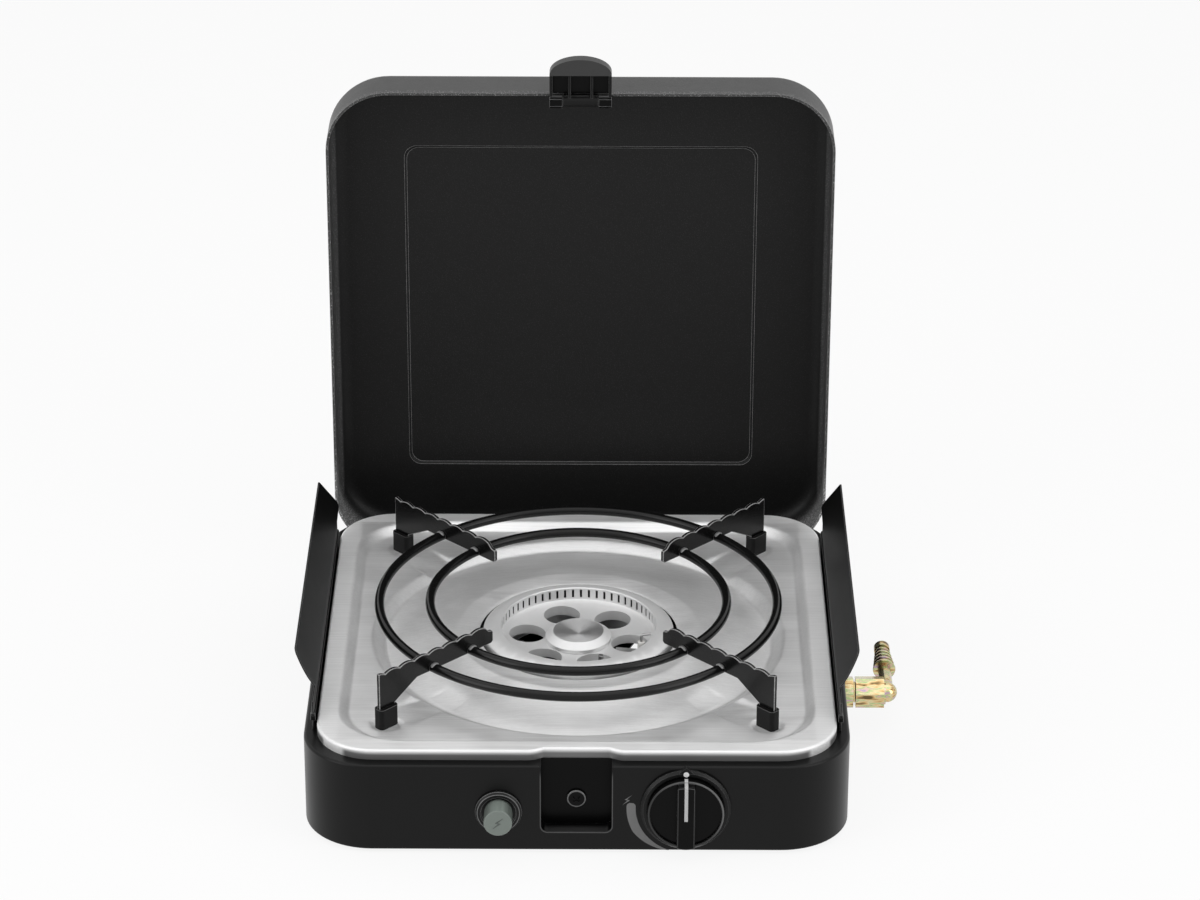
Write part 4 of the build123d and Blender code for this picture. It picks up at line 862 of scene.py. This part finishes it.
def pressed(x, y):
    """The height of the sharp-edged pressing at a point."""
    inner_x, inner_y = TRAY_HALF_X - BORDER - STEP_RUN, TRAY_HALF_Y - BORDER - STEP_RUN
    inner = box_distance(x, y, inner_x, inner_y, PAN_CORNER)
    outer = pan_distance(x, y)
    if outer >= 0:
        return TRAY_TOP
    if inner > 0:
        return PAN + (TRAY_TOP - PAN) * inner / (inner - outer)
    reach = math.hypot(x, y)
    height = along_polyline(DISH_PROFILE, reach) if reach < DISH_EDGE else PAN
    along = (abs(x) + abs(y)) / math.sqrt(2)
    across = abs(abs(x) - abs(y)) / math.sqrt(2)
    from_foot = math.hypot(along - FOOT_REACH, across)
    if from_foot < PAD_RADIUS + PAD_BEND:
        climb = max(0, (from_foot - PAD_RADIUS + PAD_BEND) / (2 * PAD_BEND))
        height = PAN - PAD_DEPTH * (1 - climb)
    if CHANNEL_END - CHANNEL_RUN_OUT < along < CHANNEL_START and across < CHANNEL_HALF + 1:
        fall = CHANNEL_FALL * (CHANNEL_START - along) / (CHANNEL_START - CHANNEL_END)
        wall = min(1.0, (CHANNEL_HALF + 1 - across) / CHANNEL_WALL)
        height = min(height, PAN - fall * wall)
    return height


def sheet_height(x, y, round_mm=1.1):
    """The pressing with its bends rounded, by averaging the heights around the point."""
    total = pressed(x, y)
    for k in range(8):
        turn = math.pi / 4 * k
        total += pressed(x + round_mm * math.cos(turn), y + round_mm * math.sin(turn))
    return total / 9


print("the dish is", round(sheet_height(DISH_FOOT, 0), 2), "mm up at its foot")


# %% the tray's rings
def spread(low, high, count):
    """Evenly spaced places between two ends, without the first."""
    return [low + (high - low) * k / count for k in range(1, count + 1)]


def reach_at(turn, distance, offset):
    """How far out, in a direction, an outline lies when set in by an offset."""
    low, high = 100.0, 230.0
    for _ in range(28):
        middle = (low + high) / 2
        if distance(middle * math.cos(turn), middle * math.sin(turn)) < -offset:
            low = middle
        else:
            high = middle
    return low


def tray_angles():
    """Directions round the tray, closer together across the channels and the notch."""
    angles, turn = [], 0.0
    while turn < 360.0 - 1e-6:
        angles.append(math.radians(turn))
        to_diagonal = abs((turn % 90.0) - 45.0)
        to_notch = abs(turn - 270.0)
        near = to_diagonal < 6.4 or to_notch < 11.0
        turn = round(turn + (0.32 if near else 1.2), 4)
    return angles


angles = tray_angles()
print("directions round the tray:", len(angles))


# %% rows of points
def row_at(reaches, height=None):
    """One ring of points at these reaches. Without a height, the pressing gives it later."""
    pairs = zip(angles, reaches)
    return [(reach * math.cos(turn), reach * math.sin(turn), height) for turn, reach in pairs]


def row_inset(distance, offset, height=None):
    """One ring of points, set in from an outline by an offset."""
    return row_at([reach_at(turn, distance, offset) for turn in angles], height)


ROUND_ROWS = (
    [HOLE, HOLE + 0.4, HOLE + 0.9, HOLE + 1.6, HOLE + 2.6]
    + spread(HOLE + 2.6, COLLAR - 2, 3)
    + spread(COLLAR - 2, COLLAR + 2, 5)
    + spread(COLLAR + 2, DISH_FOOT - 4, 6)
    + spread(DISH_FOOT - 4, DISH_EDGE + 3, 16)
)
PAN_END, PAN_ROWS = STEP_RUN + 4.5, 34
STEP_END, STEP_ROWS = -2.4, 15
BORDER_INSETS = (5.2, 3.4, 1.9)
tray_rows = [row_at([radius] * len(angles)) for radius in ROUND_ROWS]
dish_end = ROUND_ROWS[-1]
pan_edge = [reach_at(turn, pan_distance, PAN_END) for turn in angles]
for share in spread(0, 1, PAN_ROWS):
    tray_rows.append(row_at([dish_end + (edge - dish_end) * share for edge in pan_edge]))
for offset in spread(PAN_END, STEP_END, STEP_ROWS):
    tray_rows.append(row_inset(pan_distance, offset))
for offset in BORDER_INSETS:
    tray_rows.append(row_inset(tray_distance, offset, TRAY_TOP))
for degrees in range(0, 91, 18):
    bend = math.radians(degrees)
    drop = EDGE_BEND * (1 - math.cos(bend))
    tray_rows.append(row_inset(tray_distance, EDGE_BEND * (1 - math.sin(bend)), TRAY_TOP - drop))
last = tray_rows[-1]
for height in (SKIRT_MIDDLE, RIM + 0.05):
    tray_rows.append([(x, y, height) for x, y, _ in last])
print("tray rings:", len(tray_rows), "of", len(angles), "points")

# %% press the tray
bpy.ops.object.select_all(action="DESELECT")
bpy.ops.mesh.primitive_circle_add(vertices=len(angles), radius=HOLE * MM)
tray = bpy.context.object
bpy.ops.object.mode_set(mode="EDIT")
for _ in tray_rows[1:]:
    bpy.ops.mesh.extrude_region_move()
bpy.ops.object.mode_set(mode="OBJECT")
flat = [point for row in tray_rows for point in row]
places = []
for x, y, height in flat:
    places += [x * MM, y * MM, (sheet_height(x, y) if height is None else height) * MM]
tray.data.vertices.foreach_set("co", places)
tray.data.update()
edit(tray)
bpy.ops.mesh.normals_make_consistent(inside=False)
done(tray, "pressed_tray")
if tray.data.polygons[0].normal.z < 0:
    tray.data.flip_normals()
modify(tray, "SOLIDIFY", thickness=SHEET * MM, offset=-1, use_even_offset=False)
pick(tray)
bpy.ops.object.shade_smooth_by_angle(angle=math.radians(50))
settle(tray, "tray_steel", "base", "drip_tray")
print("tray faces:", len(tray.data.polygons))

# %% [markdown]
# ## Rings of the pan support
# The two rings are bent from round wire. A torus is what they are.

# %% rings
RING_RADII = {"outer_support_ring": 121.0, "inner_support_ring": 90.2}
RING_WIRE, RING_Z = 2.9, 83.1
for name, radius in RING_RADII.items():
    bpy.ops.object.select_all(action="DESELECT")
    bpy.ops.mesh.primitive_torus_add(
        major_segments=240,
        minor_segments=24,
        major_radius=radius * MM,
        minor_radius=RING_WIRE * MM,
        location=(0, 0, RING_Z * MM),
    )
    ring = done(bpy.context.object, name.replace("support", "wire"))
    pick(ring)
    bpy.ops.object.shade_smooth()
    settle(ring, "enamel", "pan_support", name)
print("rings ready")

# %% [markdown]
# ## Edges that catch the light
# The other pieces keep the shape of their solids, with edges rounded by as much as each process
# leaves: about half a millimetre on pressed sheet and mouldings, less on stamped plate, more on
# rubber. The round of a painted or moulded piece gets a paler material of its own, a painted
# highlight. The lid's raised panel also gets slanted walls, as a press leaves them.

# %% edges to round
EDGE_ROUNDS = {
    "base_housing": (0.5, "base_edge"),
    "lid_shell": (0.6, "lid_edge"),
    "windshield_left": (0.3, "base_edge"),
    "windshield_right": (0.3, "base_edge"),
    "windshield_rail_left": (0.25, "base_edge"),
    "windshield_rail_right": (0.25, "base_edge"),
    "support_arm_back_right": (0.45, "enamel_edge"),
    "support_arm_back_left": (0.45, "enamel_edge"),
    "support_arm_front_left": (0.45, "enamel_edge"),
    "support_arm_front_right": (0.45, "enamel_edge"),
    "support_boots": (0.6, "plastic_edge"),
    "burner_head": (0.0, None),
    "burner_bowl": (0.6, None),
    "burner_hub": (0.35, None),
    "electrode_ceramic": (0.4, None),
    "flame_sensor": (0.3, None),
    "knob_bezel": (0.4, "plastic_edge"),
    "control_knob": (0.35, "plastic_edge"),
    "igniter_bezel": (0.4, "plastic_edge"),
    "igniter_button": (0.3, "button_edge"),
    "lid_latch": (0.45, "plastic_edge"),
    "latch_bracket": (0.3, "plastic_edge"),
    "hinge_arm_left": (0.35, None),
    "hinge_arm_right": (0.35, None),
    "lock_nut": (0.7, None),
    "hose_elbow": (0.45, None),
    "inlet_connector": (0.3, None),
    "recess_screw": (0.3, None),
    "rubber_feet": (0.8, None),
    "hinge_rivets": (0.4, None),
    "windshield_rods": (0.2, None),
    "sensor_clips": (0.2, None),
}

OTHER_FINISH = {
    "windshield_left": "shield_paint",
    "windshield_right": "shield_paint",
    "latch_bracket": "base_paint",
    "windshield_rods": "black_steel",
    "recess_screw": "black_screw",
}
print("pieces to soften:", len(EDGE_ROUNDS))

# %% soften them
LID_ANGLE, OTHER_ANGLE = 26, 32
PANEL_SIZE, PANEL_Z, PANEL_SLANT = 222.5, 189.0, 1.5
PANEL_FACE, PANEL_REACH = 199.5, 114.0


def slope_panel(lid):
    """Slants the walls of the lid's raised panel, as a press leaves them."""
    share = 1 - 2 * PANEL_SLANT / PANEL_SIZE
    for vertex in lid.data.vertices:
        if vertex.co.y > PANEL_FACE * MM and abs(vertex.co.x) < PANEL_REACH * MM:
            vertex.co.x *= share
            vertex.co.z = (PANEL_Z + (vertex.co.z / MM - PANEL_Z) * share) * MM
    lid.data.update()


softened = {}
for node, (width, edge) in EDGE_ROUNDS.items():
    piece = solid_copy(node, "soft_" + node)
    if node == "lid_shell":
        slope_panel(piece)
    piece.data.materials.clear()
    piece.data.materials.append(finishes[slot_of[node]])
    soften(piece, width, edge, LID_ANGLE if node == "lid_shell" else OTHER_ANGLE)
    settle(piece, slot_of[node], body_of[node], node, finish=OTHER_FINISH.get(node))
    softened[node] = piece
print("softened", len(softened), "pieces,", sum(len(p.data.polygons) for p in softened.values()), "faces")

# %% [markdown]
# ## Weld beads
# Each ring is welded to each arm, on both sides of the arm. A bead is a small ball, pressed flat
# and pulled out from the middle of the support. All sixteen are joined into one piece.

# %% beads
BEAD_ALONG, BEAD_ACROSS, BEAD_HIGH = 2.9, 1.7, 1.5
BEAD_OUT, BEAD_LIFT, BEAD_TILT = 2.0, 1.8, 18
beads = []
for angle in (45, 135, 225, 315):
    for radius in sorted(RING_RADII.values()):
        for side in (-1, 1):
            bpy.ops.object.select_all(action="DESELECT")
            bpy.ops.mesh.primitive_uv_sphere_add(segments=16, ring_count=10, radius=1.0)
            bead = bpy.context.object
            turn = math.radians(angle)
            outwards = Vector((math.cos(turn), math.sin(turn), 0))
            sideways = Vector((-math.sin(turn), math.cos(turn), 0))
            place = outwards * radius + sideways * side * BEAD_OUT
            bead.location = (place + Vector((0, 0, RING_Z + BEAD_LIFT))) * MM
            bead.rotation_euler = (math.radians(BEAD_TILT * side), 0, turn)
            bead.scale = (BEAD_ALONG * MM, BEAD_ACROSS * MM, BEAD_HIGH * MM)
            beads.append(bead)
pick(*beads)
bpy.ops.object.join()
welds = done(bpy.context.object, "weld_beads")
bpy.ops.object.shade_smooth()
# The beads take the paler edge material, a painted highlight.
settle(welds, "enamel", "pan_support", finish="enamel_edge")
print("weld beads:", len(beads))

# %% [markdown]
# ## Printed marks
# A crescent beside the knob widens towards the spark, where the flame is lit. A dot on the bezel and a
# line on the knob show where it points. All are thin skins of paint that follow what is under them.


# %% a thin skin
def strip(name, rows, thick_mm=0.04):
    """A skin through rows of two points each, in mm."""
    bpy.ops.object.select_all(action="DESELECT")
    bpy.ops.mesh.primitive_grid_add(x_subdivisions=1, y_subdivisions=len(rows) - 1, size=1 * MM)
    skin = bpy.context.object
    places = []
    for pair in rows:
        for point in pair:
            places += [c * MM for c in point]
    skin.data.vertices.foreach_set("co", places)
    skin.data.update()
    done(skin, name)
    modify(skin, "SOLIDIFY", thickness=thick_mm * MM, offset=0)
    return skin


print("skins are ready to lay")

# %% crescent
CRESCENT_STEPS, CRESCENT_START, CRESCENT_SWEEP = 48, 174, 76
CRESCENT_IN, CRESCENT_WIDE, CRESCENT_SHIFT = 30.0, 5.3, 0.9
ROUNDED_END = (0.45, 0.85)
PRINT_Y = FRONT_WALL - 0.03
rows = []
for k in range(CRESCENT_STEPS + 1):
    turn = math.radians(CRESCENT_START + CRESCENT_SWEEP * k / CRESCENT_STEPS)
    wide = CRESCENT_WIDE * min(1.0, 1.75 * (1 - k / CRESCENT_STEPS)) ** 0.85
    nose = ROUNDED_END[k] if k < len(ROUNDED_END) else 1.0
    middle = CRESCENT_IN + wide / 2
    pair = []
    for radius in (middle - wide / 2 * nose, middle + wide / 2 * nose):
        across = KNOB_X + CRESCENT_SHIFT + radius * math.cos(turn)
        pair.append((across, PRINT_Y, KNOB_Z + radius * math.sin(turn)))
    rows.append(pair)
crescent = strip("flame_crescent", rows)
settle(crescent, "base_paint", "base", finish="mark_grey")
print("crescent points:", 2 * len(rows))

# %% line and dot
LINE_HALF, LINE_BEND, BEND_Y, BEND_Z = 1.0, 1.3, -171.3, 51.1
BAR_LINE = [(-172.55, 29.6), (-172.55, 50.6)]
RIM_LINE = [(-167.6, 52.4), (-167.56, 53.2), (-167.1, 53.56), (-164.6, 53.56)]
DOT_PLACE, DOT_RADIUS, DOT_THICK = (KNOB_X, -163.05, 55.4), 1.65, 0.1
bend_line = []
for degrees in range(0, 91, 15):
    bend = math.radians(degrees)
    bend_line.append((BEND_Y - LINE_BEND * math.cos(bend), BEND_Z + LINE_BEND * math.sin(bend)))
line = BAR_LINE + bend_line + RIM_LINE
pointer = strip("knob_line", [[(KNOB_X - LINE_HALF, y, z), (KNOB_X + LINE_HALF, y, z)] for y, z in line])
settle(pointer, "knob_plastic", "knob", finish="mark_pale")

bpy.ops.object.select_all(action="DESELECT")
bpy.ops.mesh.primitive_cylinder_add(
    vertices=40,
    radius=DOT_RADIUS * MM,
    depth=DOT_THICK * MM,
    location=Vector(DOT_PLACE) * MM,
    rotation=(math.radians(90), 0, 0),
)
dot = done(bpy.context.object, "bezel_dot")
settle(dot, "trim_plastic", "base", finish="mark_white")
print("line points:", 2 * len(line))

# %% [markdown]
# ## Sparks
# The same bolt is printed at the crescent's wide end and stands raised on the igniter's button.

# %% sparks
BOLT_SLIM = 0.8
BOLT = [(0.56, 0.52), (-0.30, 0.03), (0.04, -0.04), (-0.56, -0.52), (0.30, -0.03), (-0.04, 0.06)]


def bolt(name, centre, size_mm, depth_mm):
    """A lightning bolt facing the front, extruded by its depth."""
    bpy.ops.object.select_all(action="DESELECT")
    bpy.ops.mesh.primitive_circle_add(vertices=len(BOLT), radius=1 * MM, fill_type="NGON")
    spark = bpy.context.object
    places = []
    for x, z in BOLT:
        offset = Vector((x * size_mm * BOLT_SLIM, 0, z * size_mm))
        places.extend((Vector(centre) + offset) * MM)
    spark.data.vertices.foreach_set("co", places)
    spark.data.update()
    done(spark, name)
    modify(spark, "SOLIDIFY", thickness=depth_mm * MM, offset=0)
    return spark


printed = bolt("flame_spark", (29.5, PRINT_Y, 36.6), 6.4, 0.05)
settle(printed, "base_paint", "base", finish="mark_grey")
raised = bolt("button_spark", (BUTTON_X, BUTTON_FRONT - 0.05, BUTTON_Z), 6.6, 0.3)
settle(raised, "button_plastic", "igniter", finish="button_mark")
print("sparks ready")

# %% [markdown]
# ## Floor, light and background
# The stove stands on a white floor under soft studio light: one broad lamp above and a little in
# front, and one at each side. The camera sees the floor and the world as plain white, and so do
# mirror-like surfaces, which are then not lit by more light than the rest. The floor keeps a share
# of its own shading, so the stove's shadow stays on it.


# %% floor
def white_floor():
    """A wide floor that looks white and still takes the stove's shadow."""
    bpy.ops.object.select_all(action="DESELECT")
    bpy.ops.mesh.primitive_plane_add(size=12, location=(0, 0, 0))
    floor = bpy.context.object
    floor.name = "studio_floor"
    material = bpy.data.materials.new("studio_floor")
    material.use_nodes = True
    tree = material.node_tree
    shader = tree.nodes["Principled BSDF"]
    shader.inputs["Base Color"].default_value = (0.9, 0.9, 0.9, 1)
    shader.inputs["Roughness"].default_value = 0.9
    rays = make_node(tree, "ShaderNodeLightPath").socket.node
    seen = (Wire(rays.outputs["Is Camera Ray"]) * 0.88).most(Wire(rays.outputs["Is Glossy Ray"]))
    seen = seen.most(Wire(rays.outputs["Is Transmission Ray"]))
    glow = make_node(tree, "ShaderNodeEmission", None, {"Color": (1, 1, 1, 1), "Strength": 1.0})
    mixed = make_node(tree, "ShaderNodeMixShader", None, {0: seen, 1: Wire(shader.outputs[0]), 2: glow})
    tree.links.new(mixed.socket, tree.nodes["Material Output"].inputs["Surface"])
    floor.data.materials.append(material)


white_floor()
print("floor ready")


# %% world
def white_world(ambient):
    """White for the camera and for reflections, and a plain level of light for everything else."""
    world = bpy.data.worlds.new("studio_world")
    bpy.context.scene.world = world
    world.use_nodes = True
    tree = world.node_tree
    rays = make_node(tree, "ShaderNodeLightPath").socket.node
    seen = Wire(rays.outputs["Is Camera Ray"]).most(Wire(rays.outputs["Is Glossy Ray"]))
    seen = seen.most(Wire(rays.outputs["Is Transmission Ray"]))
    backdrop = tree.nodes["Background"]
    backdrop.inputs["Color"].default_value = (1, 1, 1, 1)
    strength = seen * (1 - ambient) + ambient
    tree.links.new(strength.socket, backdrop.inputs["Strength"])


AMBIENT = 0.42
bpy.context.scene.view_settings.view_transform = "Standard"
white_world(AMBIENT)
print("world gives", AMBIENT, "of full light")


# %% lamps
def soft_lamp(name, place, aim, width, height, watts):
    """A rectangular lamp that looks at a point."""
    lamp = bpy.data.lights.new(name, "AREA")
    lamp.shape = "RECTANGLE"
    lamp.size, lamp.size_y = width, height
    lamp.energy = watts
    holder = bpy.data.objects.new(name, lamp)
    bpy.context.scene.collection.objects.link(holder)
    holder.location = place
    holder.rotation_euler = (Vector(aim) - Vector(place)).to_track_quat("-Z", "Y").to_euler()


STOVE_MIDDLE = (0, 0, 0.08)
SIDE_REACH, SIDE_WATTS = 1.5, 9
soft_lamp("lamp_above", (0, -0.1, 1.8), STOVE_MIDDLE, 3.4, 2.8, 21)
soft_lamp("lamp_left", (-SIDE_REACH, -0.9, 0.8), STOVE_MIDDLE, 1.0, 1.4, SIDE_WATTS)
soft_lamp("lamp_right", (SIDE_REACH, -0.9, 0.8), STOVE_MIDDLE, 1.0, 1.4, SIDE_WATTS)
print("lamps ready")
